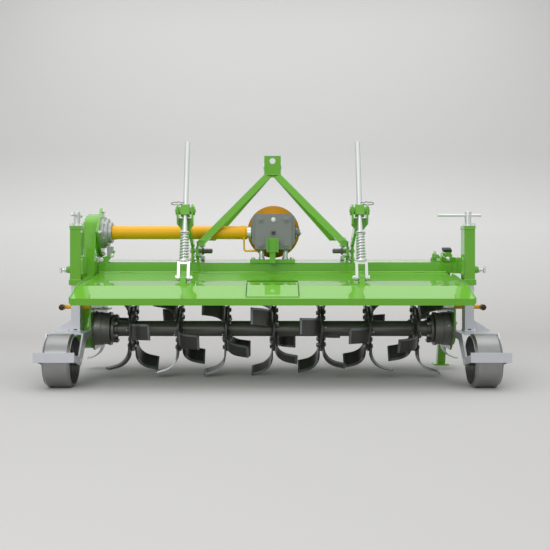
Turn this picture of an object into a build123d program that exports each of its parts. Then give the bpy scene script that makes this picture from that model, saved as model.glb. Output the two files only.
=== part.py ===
from build123d import *
import os
from math import atan2, cos, hypot, pi, radians, sin, sqrt

# Tractor-mounted rotavator, seen in its parked state.
# X runs to the machine's right, +Y is the way it travels, Z is up.
# Places are written from the ground point below the middle of the rotor's axis. The saved nodes
# are moved along Y by MIDDLE, so that their origin is on the ground in the middle of the machine.

# ---------------------------------------------------------------- driving dimensions, in millimetres
WORK_HALF = 945.0        # inner face of a side plate, from the middle
FIT = 0.3                # running gap of a sliding or turning fit
SEAT = 0.3               # gap between a moving piece and the seat it rests on

# rotor
AXIS_Z = 252.0           # rotor axis above the ground
TUBE_R = 41.0
TIP_R = 250.0            # out to the blades' tips
FLANGE_PITCH = 250.0
ROTOR_MARGIN = 187.0     # from the side plate to the last flange's middle, at least
FLANGE_SHIFT = 8.0       # the row of flanges stands this far to the right of the middle
FLANGE_R = 120.0
FLANGE_T = 10.0
BLADES_PER_SIDE = 3      # on each face of a flange
PHASE_STEP = 13.0        # degrees that each flange is turned on from the last
BLADE_T = 8.0
BLADE_REACH = 113.0      # from the flange's face to the wing's end
BEND_R = 92.0            # outside radius of the bend from shank to wing
BEND_TURN = 75.0         # degrees
WING_TWIST = 16.0        # clearance angle, degrees: the cutting edge runs further out than the heel
SHANK_W = 62.0
WING_W = 82.0
ROOT_R = 48.0            # where a blade's shank starts
END_FLANGE_R = 74.0
END_FLANGE_T = 14.0
END_GAP = 94.0           # from the side plate to the rotor's end flange
JOURNAL_R = 30.0
DRUM_R = 88.0            # fixed bearing drum
DRUM_LENGTH = 89.0
DRUM_BARREL_R = 84.0
DRUM_BASE = 41.0
DRUM_RIM = 11.0
SPIGOT_R = 80.0          # drum's register in the side plate
SHIELD_T = 6.0           # small plate above each drum
SHIELD_W = 160.0
SHIELD_Z = 352.0

# side plates
SIDE_T = 10.0
SIDE_REAR_Y = -114.0
SIDE_FRONT_Y = 330.0
SIDE_BOTTOM_Z = 138.0
SKID_R = 86.0            # bend of the outer shoe
SKID_T = 7.0
SKID_WIDTH = 80.0
SKID_TAB = 34.0          # flat of the shoe against the side plate

# deck and rear beam
BEAM_Y = 113.0           # rear face of the beam
BEAM_BOTTOM = 546.0
BEAM_H = 46.0
BEAM_DEPTH = 46.0
BEAM_WALL = 5.0
BEAM_OVER = 23.0         # past the side plate
DECK_T = 8.0
DECK_DEPTH = 287.0
DECK_LIP_H = 14.0
APRON_DROP = 150.0       # front apron below the deck
EAR_T = 12.0             # frame's ear that a wheel post is bolted to
EAR_H = 86.0
EAR_ROUND = 14.0

# hood
HINGE_DROP = 2.0         # hinge axis above the beam's lower face
HINGE_GAP = 9.0          # hinge axis behind the beam
HINGE_R = 8.0
HINGE_PIN_R = 4.0
KNUCKLES = 5
KNUCKLE_PITCH = 400.0
KNUCKLE_HALF = 30.0
LIP_OVER = 35.0          # past the side plate's inner face, at the lip
FOLD_OVER = 30.0         # and at the fold
NECK_OVER = 4.0          # and where it widens, behind the side plate's top
HOOD_T = 5.0
FOLD_Y = -319.0
FOLD_Z = 493.0
LIP_Y = -460.0
LIP_Z = 437.0
LIP_H = 33.0
LIP_CORNER = 11.0        # lower corners of the lip are cut off
RIM_TOP = 22.0           # side rim above the sheet at its front end
RIM_LOW = 6.0            # and at the fold
NOTCH_Y = -41.0          # the hood is narrower ahead of this, to pass the chain case
CENTRE_HALF = 127.0      # centre stiffening plate
CENTRE_UP = 104.0        # from the fold to its front edge
CENTRE_T = 4.0

# spring rods
ROD_X = 454.0
ROD_R = 13.5
EYE_Y = -213.0           # pin that joins the rod's clevis to the hood's lug
EYE_Z = 529.0
PIVOT_Y = -106.0         # trunnions of the swivel head
PIVOT_Z = 875.0
ROD_LENGTH = 750.0
EYE_PIN_R = 8.0
EYE_PLAY = 3.0           # radial play of the pin in the lug
CLEVIS_GAP = 36.0
CLEVIS_T = 14.0
CLEVIS_W = 30.0
CLEVIS_TOP = 84.0        # along the rod, from the pin
CLEVIS_BRIDGE = 14.0
LUG_T = 28.0
LUG_R = 18.0
SEAT_T = 5.0             # spring seats
SEAT_R = 29.0
SPRING_LENGTH = 150.0
SPRING_R = 24.0
SPRING_WIRE = 8.0
HEAD_W = 48.0
HEAD_H = 54.0
HEAD_D = 46.0
TRUNNION_R = 10.0
CHEEK_GAP = 66.0
CHEEK_T = 10.0
CHEEK_RISE = 34.0        # cheeks: above the pivot
CHEEK_DROP = 72.0        # and below it
WEB_DROP = 99.0          # their web's lower edge, below the pivot
WINDOW_DROP = 38.0       # and its upper edge
ARM_WAIST = 106.0        # arm plate's narrow place, above the deck
ARM_T = 14.0
ARM_SET = 17.0           # the arm's middle from the rod, towards the machine's middle

# headstock
LEG_W = 37.0
LEG_D = 34.0
LEG_FOOT_X = 395.0
LEG_FOOT_IN = 30.0       # foot block: inwards and backwards of the leg's foot
LEG_FOOT_AHEAD = 50.0
LEG_FOOT_Y = 66.0
LEG_FOOT_Z = 700.0
LEG_TOP_X = 23.0
LEG_TOP_Y = 310.0
UPRIGHT_W = 48.0         # front uprights, across
UPRIGHT_Y = 302.0
UPRIGHT_T = 16.0
UPRIGHT_FOOT_X = 325.0
UPRIGHT_FOOT_Z = 724.0
UPRIGHT_FOOT_H = 18.0
HITCH_CHIN = 40.0        # from the deck to the hitch plate's overhanging lower edge
TOP_HALF = 47.0          # top link bracket
TOP_BOTTOM = 1097.0
TOP_H = 108.0
TOP_T = 10.0
TOP_DEPTH = 90.0
TOP_BORE_R = 12.75
TOP_BORE_Z = 53.0        # above the bracket's lower edge
LIFT_HOLE_R = 17.0
LIFT_DROP = 29.0         # lifting hole below the bracket's upper edge
HITCH_X = 400.0          # inner face of a lower hitch plate
HITCH_T = 15.0
HITCH_PIN_R = 14.0
HITCH_PIN_L = 50.0
HITCH_PIN_Y = 360.0
HITCH_PIN_Z = 665.0
HITCH_ROUND = 28.0

# gearbox and drive
BOX_X = 5.0
BOX_HALF = 116.0
BOX_BOTTOM = 671.0
BOX_TOP = 867.0
BOX_REAR = 92.0
BOX_FRONT = 280.0
BOX_CHAMFER = 16.0
COVER_T = 12.0
COVER_INSET = 17.0
NOSE_R = 62.0            # gearbox nose that the shield sits on
NOSE_L = 24.0
SIDE_BOSS_R = 34.0       # bearing caps on the gearbox's sides
SIDE_BOSS_L = 8.0
PLUG_R = 21.0
PLUG_L = 22.0
COLUMN_R = 13.0
COLUMN_SPREAD = 65.0
BASE_HALF = 123.0
BASE_T = 20.0
DRIVE_Y = 177.0          # cross shaft and upper chain wheel
DRIVE_Z = 767.0
GUARD_TUBE_R = 36.5
GUARD_TUBE_WALL = 3.0
GUARD_TUBE_START = 140.0
CHANNEL_W = 64.0         # centre bracket
CHANNEL_D = 34.0
CHANNEL_H = 77.0
CHANNEL_T = 6.0
CHANNEL_Y = 12.0
CHANNEL_LIFT = 58.0      # above the deck
STEM_T = 16.0
COUPLING_R = 32.0
PTO_R = 17.4
PTO_LENGTH = 90.0
SPLINES = 6
SPLINE_R = 3.2
PTO_GUARD_R = 149.0
PTO_GUARD_WALL = 4.0
PTO_GUARD_DEPTH = 80.0
HOOK_R = 5.0
HOOK_BEND = 12.0

# chain case
CASE_DEPTH = 60.0
CASE_WALL = 20.0         # thick enough to stand for the wheels and the chain inside
CASE_TOP_R = 102.0
CASE_LOW_R = 105.0
COVER_RIM = 8.0          # the outer cover is this much smaller all round
CAP_T = 12.0
CAP_BOSS_R = 62.0
CAP_BOSS_T = 18.0
CASE_FLANGE_R = 106.0
CASE_FLANGE_T = 14.0
CASE_EAR_R = 17.0
CASE_EAR_AT = 118.0      # ears' distance from the drive's axis
CASE_EARS = 4
STACK = ((86.0, 18.0), (76.0, 18.0), (58.0, 19.0))     # bearing flanges: radius, thickness

# wheel posts and legs
POST_SET = 20.0          # post's middle from the ear's face
POST_Y = -148.0
POST_W = 55.0
POST_D = 80.0
POST_WALL = 4.0
POST_BOTTOM = 491.0
POST_H = 303.0
POST_EAR_T = 10.0
COLLAR_OVER = 5.0
COLLAR_H = 26.0
TOP_RIM_H = 14.0
TOP_RIM_OVER = 2.0
CLAMP_Z = 569.0
CLAMP_R = 14.0
CLAMP_L = 24.0
CLAMP_SCREW_R = 7.0
STUB_R = 17.0
STUB_H = 73.0
HANDLE_R = 7.0
HANDLE_L = 218.0
HANDLE_Z = 56.0          # above the post's top
TUBE_WALL = 5.0
TUBE_OVERLAP = 199.0     # length of the leg's tube inside the post
FORK_Z = 255.0           # top of the fork's crown
FORK_T = 8.0
FORK_REAR_Y = -313.0
FORK_GAP = 172.0
WHEEL_SET = 25.0         # wheel's middle outside the post's middle
WHEEL_Y = -376.0
WHEEL_R = 130.0
WHEEL_W = 133.0
WHEEL_ROUND = 14.0
WHEEL_DISH = 40.0
WHEEL_WALL = 7.0
WHEEL_HUB_R = 26.0
AXLE_R = 10.0
SCRAPER_Y = -525.0
SCRAPER_T = 8.0
SCRAPER_BOTTOM = 138.0
SCRAPER_H = 47.0
GUARD_BAR_R = 11.0
GUARD_BAR_Z = 374.0
GUARD_BAR_Y = -98.0
GUARD_BAR_REACH = 136.0  # outside the side plate
GUARD_BAR_BEND = 22.0
GUARD_CAP_R = 15.5

# parking stand
STAND_GAP = 1.2          # sleeve clear of the side plate
STAND_TOP_Y = 265.0
STAND_TOP_Z = 671.0
STAND_FOOT_Y = 450.0
STAND_W = 45.0
STAND_WALL = 4.0
SLEEVE_WALL = 5.0
SLEEVE_H = 50.0          # above the deck
STAND_CHEEK_T = 10.0
STAND_CHEEK_GAP = 31.0
STAND_PIN_R = 7.0
FOOT_W = 85.0
FOOT_T = 8.0

# ---------------------------------------------------------------- places worked out from them
SIDES = {"left": -1, "right": 1}
FAR = 3000.0                                   # longer than any piece, for cuts that go right through
SIDE_OUT = WORK_HALF + SIDE_T
BEAM_HALF = SIDE_OUT + BEAM_OVER
FLANGES = 1 + int(2 * (WORK_HALF - ROTOR_MARGIN) / FLANGE_PITCH)     # a wider rotor has more of them
BEAM_TOP = BEAM_BOTTOM + BEAM_H
BEAM_FRONT = BEAM_Y + BEAM_DEPTH
DECK_TOP = BEAM_TOP + DECK_T
DECK_FRONT = BEAM_Y + DECK_DEPTH
EAR_X = BEAM_HALF + EAR_T
EAR_TOP = BEAM_BOTTOM + EAR_H
HINGE_Y = BEAM_Y - HINGE_GAP
HINGE_Z = BEAM_BOTTOM + HINGE_DROP
HOOD_HALF = WORK_HALF + LIP_OVER
NOTCH_HALF = WORK_HALF + 1
CASE_OUT = SIDE_OUT + CASE_DEPTH
TOP_TOP = TOP_BOTTOM + TOP_H
STACK_LENGTH = sum(thickness for radius, thickness in STACK)
POST_X = EAR_X + POST_SET
POST_TOP = POST_BOTTOM + POST_H
WHEEL_X = POST_X + WHEEL_SET
TUBE_W = POST_W - 2 * POST_WALL - 2 * FIT      # the leg's own tube fits the post's bore
TUBE_D = POST_D - 2 * POST_WALL - 2 * FIT
TUBE_TOP = POST_BOTTOM + TUBE_OVERLAP
SLEEVE_HALF = STAND_W / 2 + FIT + SLEEVE_WALL
STAND_X = SIDE_OUT + STAND_GAP + SLEEVE_HALF
STAND_LEAN = atan2(STAND_TOP_Y - STAND_FOOT_Y, STAND_TOP_Z)
STAND_AT_DECK = STAND_FOOT_Y + DECK_TOP * (STAND_TOP_Y - STAND_FOOT_Y) / STAND_TOP_Z
ROD_LEAN = atan2(PIVOT_Y - EYE_Y, PIVOT_Z - EYE_Z)
ROD_REACH = hypot(PIVOT_Y - EYE_Y, PIVOT_Z - EYE_Z)
SPRING_START = CLEVIS_TOP + SEAT_T
MIDDLE = -(SCRAPER_Y - SCRAPER_T + STAND_FOOT_Y + FOOT_W / 2) / 2


# ---------------------------------------------------------------- small tools
def box(x, y, z):
    """A block from three (low, high) pairs."""
    size = [b - a for a, b in (x, y, z)]
    mid = [(a + b) / 2 for a, b in (x, y, z)]
    return Pos(*mid) * Box(*size)


def span(a, b):
    """Two values as a (low, high) pair."""
    return (min(a, b), max(a, b))


def rod_between(p, q, radius):
    """A round bar from p to q."""
    p, q = Vector(*p), Vector(*q)
    place = Plane(origin=p, z_dir=q - p)
    return place * Cylinder(radius, (q - p).length, align=(Align.CENTER, Align.CENTER, Align.MIN))


def along_x(radius, x0, x1, y, z):
    return rod_between((x0, y, z), (x1, y, z), radius)


def along_y(radius, y0, y1, x, z):
    return rod_between((x, y0, z), (x, y1, z), radius)


def along_z(radius, z0, z1, x, y):
    return rod_between((x, y, z0), (x, y, z1), radius)


def plate_x(points, x0, x1):
    """A flat plate with (y, z) corners, from x0 to x1."""
    place = Plane(origin=(x0, 0, 0), x_dir=(0, 1, 0), z_dir=(1, 0, 0))
    return extrude(place * Polygon(*points, align=None), x1 - x0, dir=(1, 0, 0))


def plate_y(points, y0, y1):
    """A flat plate with (x, z) corners, from y0 to y1."""
    place = Plane(origin=(0, y1, 0), x_dir=(1, 0, 0), z_dir=(0, -1, 0))
    return extrude(place * Polygon(*points, align=None), y1 - y0, dir=(0, -1, 0))


def tube_along(path, radius):
    """A round bar swept along straight runs and arcs."""
    return sweep(Plane(origin=path @ 0, z_dir=path % 0) * Circle(radius), path=path)


def round_corners(shape, radius, axis, near):
    """Round the edges along an axis that lie closest to the given points."""
    edges = shape.edges().filter_by(axis)
    picked = []
    for point in near:
        picked.append(min(edges, key=lambda edge: (edge.center() - Vector(*point)).length))
    return fillet(picked, radius)


def mirror_x(shape):
    return mirror(shape, about=Plane.YZ)


def both(make):
    """The right-hand piece and its mirror image."""
    right = make()
    return [right, mirror_x(right)]


def save(name, *solids):
    """Write one node from its solids."""
    found = [Pos(0, MIDDLE, 0) * s for shape in solids for s in shape.solids()]
    whole = Compound(children=found) if len(found) > 1 else found[0]
    export_step(whole, f"parts/{name}.step")


# ---------------------------------------------------------------- side plates
def side_outline():
    """The side plate seen from the side; its top follows the raised hood."""
    front = DECK_FRONT - DECK_T
    return [
        (SIDE_REAR_Y, 224), (0, SIDE_BOTTOM_Z), (SIDE_FRONT_Y - 30, SIDE_BOTTOM_Z),
        (SIDE_FRONT_Y, SIDE_BOTTOM_Z + 30), (SIDE_FRONT_Y, 300), (front, 470),
        (front, BEAM_TOP), (BEAM_FRONT, BEAM_TOP), (BEAM_FRONT, BEAM_BOTTOM),
        (BEAM_Y, BEAM_BOTTOM), (BEAM_Y - 29, 514), (SIDE_REAR_Y, 492),
    ]


def side_plate():
    plate = plate_x(side_outline(), WORK_HALF, SIDE_OUT)
    return plate - along_x(SPIGOT_R, WORK_HALF - 1, SIDE_OUT + 1, 0, AXIS_Z)


def skid():
    """Shoe bent outwards below the side plate's front corner."""
    x, z = SIDE_OUT + SKID_R, SIDE_BOTTOM_Z + 8
    y1 = SIDE_FRONT_Y - 5
    y0 = y1 - SKID_WIDTH
    ring = along_y(SKID_R, y0, y1, x, z) - along_y(SKID_R - SKID_T, y0, y1, x, z)
    shoe = ring & box((SIDE_OUT, x), (y0, y1), (z - SKID_R, z))
    return shoe + box((SIDE_OUT, SIDE_OUT + SKID_T), (y0, y1), (z, z + SKID_TAB))


# ---------------------------------------------------------------- deck
def deck():
    """Top plate with its front rim and the apron below it, cut for the chain case and the stand."""
    top = box((-BEAM_HALF, BEAM_HALF), (BEAM_Y, DECK_FRONT), (BEAM_TOP, DECK_TOP))
    lip = box((-BEAM_HALF, BEAM_HALF), (DECK_FRONT - DECK_T, DECK_FRONT), (DECK_TOP, DECK_TOP + DECK_LIP_H))
    y = (DECK_FRONT - DECK_T, DECK_FRONT)
    apron = box((-WORK_HALF, WORK_HALF), y, (BEAM_TOP - APRON_DROP, BEAM_TOP))
    level = (BEAM_TOP - 1, EAR_TOP)
    case_notch = box((-BEAM_HALF - 1, -SIDE_OUT), (BEAM_Y - 1, DRIVE_Y + CASE_TOP_R + 41), level)
    slot = box((SIDE_OUT, BEAM_HALF + 1), (STAND_AT_DECK - 38, STAND_AT_DECK + 38), level)
    return (top + lip + apron) - case_notch - slot


def rear_beam():
    """Square beam along the deck's rear edge; its left end stops at the chain case."""
    w = BEAM_WALL
    outer = box((-SIDE_OUT, BEAM_HALF), (BEAM_Y, BEAM_FRONT), (BEAM_BOTTOM, BEAM_TOP))
    x, z = (-SIDE_OUT + w, BEAM_HALF - w), (BEAM_BOTTOM + w, BEAM_TOP - w)
    inner = box(x, (BEAM_Y + w, BEAM_FRONT - w), z)
    ear = box((BEAM_HALF, EAR_X), (0, BEAM_FRONT), (BEAM_BOTTOM, EAR_TOP))
    ear = round_corners(ear, EAR_ROUND, Axis.X, [(EAR_X, 0, EAR_TOP)])
    return outer - inner + ear


# ---------------------------------------------------------------- headstock
def headstock_leg(side):
    """Flat bar that leans inwards and forwards, cut level below the top link bracket."""
    foot = Vector(side * LEG_FOOT_X, LEG_FOOT_Y, LEG_FOOT_Z)
    top = Vector(side * LEG_TOP_X, LEG_TOP_Y, TOP_BOTTOM)
    along = top - foot
    place = Plane(origin=foot, x_dir=along.cross(Vector(0, 1, 0)), z_dir=along)
    bar = extrude(place * Rectangle(LEG_W, LEG_D), along.length)
    return bar - box((-FAR, FAR), (-FAR, FAR), (TOP_BOTTOM, FAR))


def top_bracket():
    """Channel for the tractor's top link, with its pin bore and a lifting hole."""
    rear = LEG_TOP_Y - 20
    web = box((-TOP_HALF, TOP_HALF), (rear, rear + TOP_T), (TOP_BOTTOM, TOP_TOP))
    bracket = web - along_y(LIFT_HOLE_R, rear - 1, rear + TOP_T + 1, 0, TOP_TOP - LIFT_DROP)
    bore_y, bore_z = LEG_TOP_Y + 40, TOP_BOTTOM + TOP_BORE_Z
    nose = rear + TOP_DEPTH
    cheek = [(rear, TOP_BOTTOM), (nose - 22, TOP_BOTTOM), (nose, TOP_BOTTOM + 22), (nose, TOP_TOP - 30),
             (nose - 30, TOP_TOP), (rear, TOP_TOP)]
    for s in (-1, 1):
        bracket += plate_x(cheek, *span(s * TOP_HALF, s * (TOP_HALF - TOP_T)))
    return bracket - along_x(TOP_BORE_R, -TOP_HALF - 1, TOP_HALF + 1, bore_y, bore_z)


def upright(side):
    """Flat front bar from the bracket down to a foot on the hitch plate."""
    top, low, foot_x = TOP_BOTTOM, UPRIGHT_FOOT_Z, UPRIGHT_FOOT_X
    lap = 3
    points = [
        (-side * lap, top),
        (side * (UPRIGHT_W - lap), top),
        (side * (foot_x + UPRIGHT_W), low),
        (side * foot_x, low),
    ]
    bar = plate_y(points, UPRIGHT_Y, UPRIGHT_Y + UPRIGHT_T)
    y = (UPRIGHT_Y, UPRIGHT_Y + UPRIGHT_T + 16)
    return bar + box(span(side * foot_x, side * HITCH_X), y, (low, low + UPRIGHT_FOOT_H))


def headstock():
    """Two leaning legs, the front uprights and the top link bracket, welded in one."""
    body = top_bracket()
    for s in (-1, 1):
        body += headstock_leg(s)
        body += upright(s)
        x = span(s * (LEG_FOOT_X - LEG_FOOT_IN), s * HITCH_X)
        y = (LEG_FOOT_Y - LEG_FOOT_IN, LEG_FOOT_Y + LEG_FOOT_AHEAD)
        body += box(x, y, (LEG_FOOT_Z - 10, LEG_FOOT_Z + 20))
    return body


def hitch_pin(side):
    """Stub for the tractor's lower link, pointing inwards from its plate."""
    ends = span(side * HITCH_X, side * (HITCH_X - HITCH_PIN_L))
    return along_x(HITCH_PIN_R, *ends, HITCH_PIN_Y, HITCH_PIN_Z)


def hitch_plate(side):
    """Cheek on the deck that carries a leg's foot, an upright's foot and the lower hitch pin."""
    foot, level, high = LEG_FOOT_Y - 6, LEG_FOOT_Z - 10, UPRIGHT_FOOT_Z + UPRIGHT_FOOT_H
    nose = HITCH_PIN_Y + HITCH_ROUND
    chin = DECK_TOP + HITCH_CHIN
    points = [(foot, level), (foot, chin), (BEAM_Y, DECK_TOP + 20), (BEAM_Y, DECK_TOP),
              (DECK_FRONT - DECK_T, DECK_TOP), (DECK_FRONT - DECK_T, chin), (nose, chin), (nose, level),
              (UPRIGHT_Y + 46, high), (UPRIGHT_Y - 6, high), (BEAM_FRONT + 41, LEG_FOOT_Z + 20),
              (LEG_FOOT_Y + LEG_FOOT_AHEAD, LEG_FOOT_Z + 20), (LEG_FOOT_Y + LEG_FOOT_AHEAD, level)]
    return plate_x(points, *span(side * HITCH_X, side * (HITCH_X + HITCH_T)))


# ---------------------------------------------------------------- hood
def hood_profile():
    """The folded sheet's upper line, hinge to lip, as (y, z)."""
    return [(HINGE_Y - 4, HINGE_Z), (FOLD_Y, FOLD_Z), (LIP_Y, LIP_Z), (LIP_Y, LIP_Z - LIP_H)]


def hood_point(y):
    """Height of the hood's upper face at a place between hinge and fold."""
    a, b = hood_profile()[:2]
    return a[1] + (a[0] - y) * (b[1] - a[1]) / (a[0] - b[0])


def hood_plan(inset=0.0):
    """The hood seen from above, as a tall block; it widens backwards behind the side plates."""
    half = [(NOTCH_HALF, BEAM_Y), (NOTCH_HALF, NOTCH_Y), (WORK_HALF + NECK_OVER, NOTCH_Y),
            (WORK_HALF + FOLD_OVER, FOLD_Y), (HOOD_HALF, LIP_Y - 1)]
    right = [(x - inset, y) for x, y in half]
    left = [(-x, y) for x, y in reversed(right)]
    return extrude(Polygon(*right, *left, align=None), BEAM_TOP, dir=(0, 0, 1))


def hood_sheet():
    a, b, c, d = hood_profile()
    t = HOOD_T
    outline = [a, b, c, d, (d[0] + t, d[1]), (c[0] + t, c[1] - t), (b[0] + 1, b[1] - t), (a[0], a[1] - t)]
    return plate_x(outline, -HOOD_HALF, HOOD_HALF)


def hood_rims():
    """Low rims that stand along the sheet's sides and fade towards the lip."""
    a, b, c, d = hood_profile()
    start = NOTCH_Y - 22
    outline = [(NOTCH_Y, hood_point(NOTCH_Y) - 3), (NOTCH_Y, hood_point(NOTCH_Y) + 6),
               (start, hood_point(start) + RIM_TOP), (b[0], b[1] + RIM_LOW), (c[0], c[1] + RIM_LOW),
               (c[0], c[1] - LIP_H), (c[0] + 45, c[1] - LIP_H + 12), (b[0], b[1] - 3)]
    solid = plate_x(outline, -HOOD_HALF, HOOD_HALF)
    return (solid & hood_plan()) - hood_plan(HOOD_T)


def lip_corner(side):
    """What is cut from a lower corner of the lip."""
    edge, low = HOOD_HALF, LIP_Z - LIP_H
    points = [(side * (edge + 1), low - 1), (side * (edge - LIP_CORNER), low - 1),
              (side * (edge + 1), low + LIP_CORNER + 3)]
    return plate_y(points, LIP_Y - 1, LIP_Y + 60)


def centre_plate():
    """Stiffening plate over the fold, in the middle."""
    b, c = hood_profile()[1:3]
    near, t = b[0] + CENTRE_UP, CENTRE_T
    far = c[0] + 14
    far_z = c[1] + 14 * (b[1] - c[1]) / (b[0] - c[0])
    near_z = hood_point(near)
    points = [(near, near_z), b, (far, far_z), (far, far_z + t), (b[0], b[1] + t), (near, near_z + t)]
    return plate_x(points, -CENTRE_HALF, CENTRE_HALF)


def hood():
    """Folded tailboard with side rims, hinge barrels and a centre plate."""
    body = (hood_sheet() & hood_plan()) + hood_rims()
    body += along_x(HINGE_R, -NOTCH_HALF, NOTCH_HALF, HINGE_Y, HINGE_Z)
    body += centre_plate()
    for x in knuckle_places():
        gap = KNUCKLE_HALF + 1
        body -= box((x - gap, x + gap), (HINGE_Y - 2 * HINGE_R, BEAM_Y), (HINGE_Z - 20, HINGE_Z + 20))
    for s in (-1, 1):
        body -= lip_corner(s)
    return body - along_x(HINGE_PIN_R + 0.1, -HOOD_HALF, HOOD_HALF, HINGE_Y, HINGE_Z)


def knuckle_places():
    return [KNUCKLE_PITCH * (k - (KNUCKLES - 1) / 2) for k in range(KNUCKLES)]


def hinge():
    """The beam's knuckles and the long hinge pin."""
    pin = along_x(HINGE_PIN_R, -NOTCH_HALF, NOTCH_HALF, HINGE_Y, HINGE_Z)
    for x in knuckle_places():
        pin += along_x(HINGE_R, x - KNUCKLE_HALF, x + KNUCKLE_HALF, HINGE_Y, HINGE_Z)
        pin += box((x - KNUCKLE_HALF, x + KNUCKLE_HALF), (HINGE_Y, BEAM_Y), (HINGE_Z, HINGE_Z + HINGE_R))
    return pin


def hood_lug(side):
    """Lug with a rounded head, welded on the hood between the clevis's legs."""
    x = side * ROD_X
    foot = 30
    points = [(EYE_Y - foot, hood_point(EYE_Y - foot)), (EYE_Y + foot, hood_point(EYE_Y + foot)),
              (EYE_Y + LUG_R, EYE_Z), (EYE_Y - LUG_R, EYE_Z)]
    lug = plate_x(points, x - LUG_T / 2, x + LUG_T / 2)
    lug += along_x(LUG_R, x - LUG_T / 2, x + LUG_T / 2, EYE_Y, EYE_Z)
    return lug - along_x(EYE_PIN_R + EYE_PLAY, x - LUG_T, x + LUG_T, EYE_Y, EYE_Z)


# ---------------------------------------------------------------- spring rods
def rod_plane(side, distance=0.0):
    """Plane across the rod, that far along it from the clevis's pin."""
    y = EYE_Y + distance * sin(ROD_LEAN)
    z = EYE_Z + distance * cos(ROD_LEAN)
    return Plane(origin=(side * ROD_X, y, z), x_dir=(1, 0, 0), z_dir=(0, sin(ROD_LEAN), cos(ROD_LEAN)))


def rod_piece(side, start, end, radius):
    """A round length of the rod, or a collar on it."""
    height = end - start
    return rod_plane(side, start) * Cylinder(radius, height, align=(Align.CENTER, Align.CENTER, Align.MIN))


def spring_rod(side):
    """Round bar with its clevis, the spring's seats and the stop above the swivel head."""
    x = side * ROD_X
    inner, outer = CLEVIS_GAP / 2, CLEVIS_GAP / 2 + CLEVIS_T
    rod = rod_piece(side, CLEVIS_TOP - 1, ROD_LENGTH, ROD_R)
    low = CLEVIS_TOP - CLEVIS_BRIDGE / 2
    rod += rod_plane(side, low) * Box(2 * outer, CLEVIS_W, CLEVIS_BRIDGE)
    for s in (-1, 1):
        middle = s * (inner + outer) / 2
        rod += rod_plane(side, CLEVIS_TOP / 2) * Pos(middle, 0, 0) * Box(CLEVIS_T, CLEVIS_W, CLEVIS_TOP)
        rod += along_x(CLEVIS_W / 2, *span(x + s * inner, x + s * outer), EYE_Y, EYE_Z)
    rod += along_x(EYE_PIN_R, x - outer, x + outer, EYE_Y, EYE_Z)
    rod += rod_piece(side, CLEVIS_TOP, SPRING_START, SEAT_R)
    top = SPRING_START + SPRING_LENGTH
    rod += rod_piece(side, top, top + SEAT_T, SEAT_R - 3)
    stop = ROD_REACH + HEAD_H / 2 + SEAT
    return rod + rod_piece(side, stop, stop + SEAT_T, SEAT_R - 8)


def spring(side):
    """Compression spring between its seats, as a plain sleeve."""
    size = dict(height=SPRING_LENGTH, align=(Align.CENTER, Align.CENTER, Align.MIN))
    sleeve = Cylinder(SPRING_R, **size) - Cylinder(SPRING_R - SPRING_WIRE, **size)
    return rod_plane(side, SPRING_START) * sleeve


def swivel_head(side):
    """Block that the rod slides in, on two trunnions held by the bracket's cheeks."""
    x = side * ROD_X
    reach = CHEEK_GAP / 2 + CHEEK_T + 4
    block = rod_plane(side, ROD_REACH) * Box(HEAD_W, HEAD_D, HEAD_H)
    block += along_x(TRUNNION_R - 0.1, x - reach, x + reach, PIVOT_Y, PIVOT_Z)
    return block - rod_piece(side, 0, ROD_LENGTH, ROD_R + FIT)


def rod_arm(side):
    """U-shaped bracket for the swivel head, on a plate that stands on the deck's rear edge."""
    x = side * ROD_X
    inner, outer = CHEEK_GAP / 2, CHEEK_GAP / 2 + CHEEK_T
    top, waist, bottom = PIVOT_Z + CHEEK_RISE, PIVOT_Z - CHEEK_DROP, PIVOT_Z - WEB_DROP
    window = PIVOT_Z - WINDOW_DROP
    cheek = [(PIVOT_Y - 30, top - 12), (PIVOT_Y - 18, top), (PIVOT_Y + 18, top), (PIVOT_Y + 30, top - 12),
             (PIVOT_Y + 24, waist), (PIVOT_Y - 20, waist), (PIVOT_Y - 30, PIVOT_Z - 40)]
    web_y = (PIVOT_Y + 12, PIVOT_Y + 24)
    web = [(x - outer, window), (x - outer, waist), (x - 22, bottom), (x + 22, bottom), (x + outer, waist),
           (x + outer, window)]
    arm = plate_y(web, *web_y)
    for s in (-1, 1):
        arm += plate_x(cheek, *span(x + s * inner, x + s * outer))
    arm -= along_x(TRUNNION_R, x - CHEEK_GAP, x + CHEEK_GAP, PIVOT_Y, PIVOT_Z)
    middle = side * (ROD_X - ARM_SET)
    plate = [(web_y[0] + 1, bottom), (web_y[0] + 1, window), (web_y[1] + 8, window + 4),
             (BEAM_FRONT - 6, DECK_TOP + ARM_WAIST), (BEAM_FRONT + 12, DECK_TOP), (BEAM_Y, DECK_TOP),
             (BEAM_Y - 9, DECK_TOP + ARM_WAIST - ARM_T - 2)]
    return arm + plate_x(plate, middle - ARM_T / 2, middle + ARM_T / 2)


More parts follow.
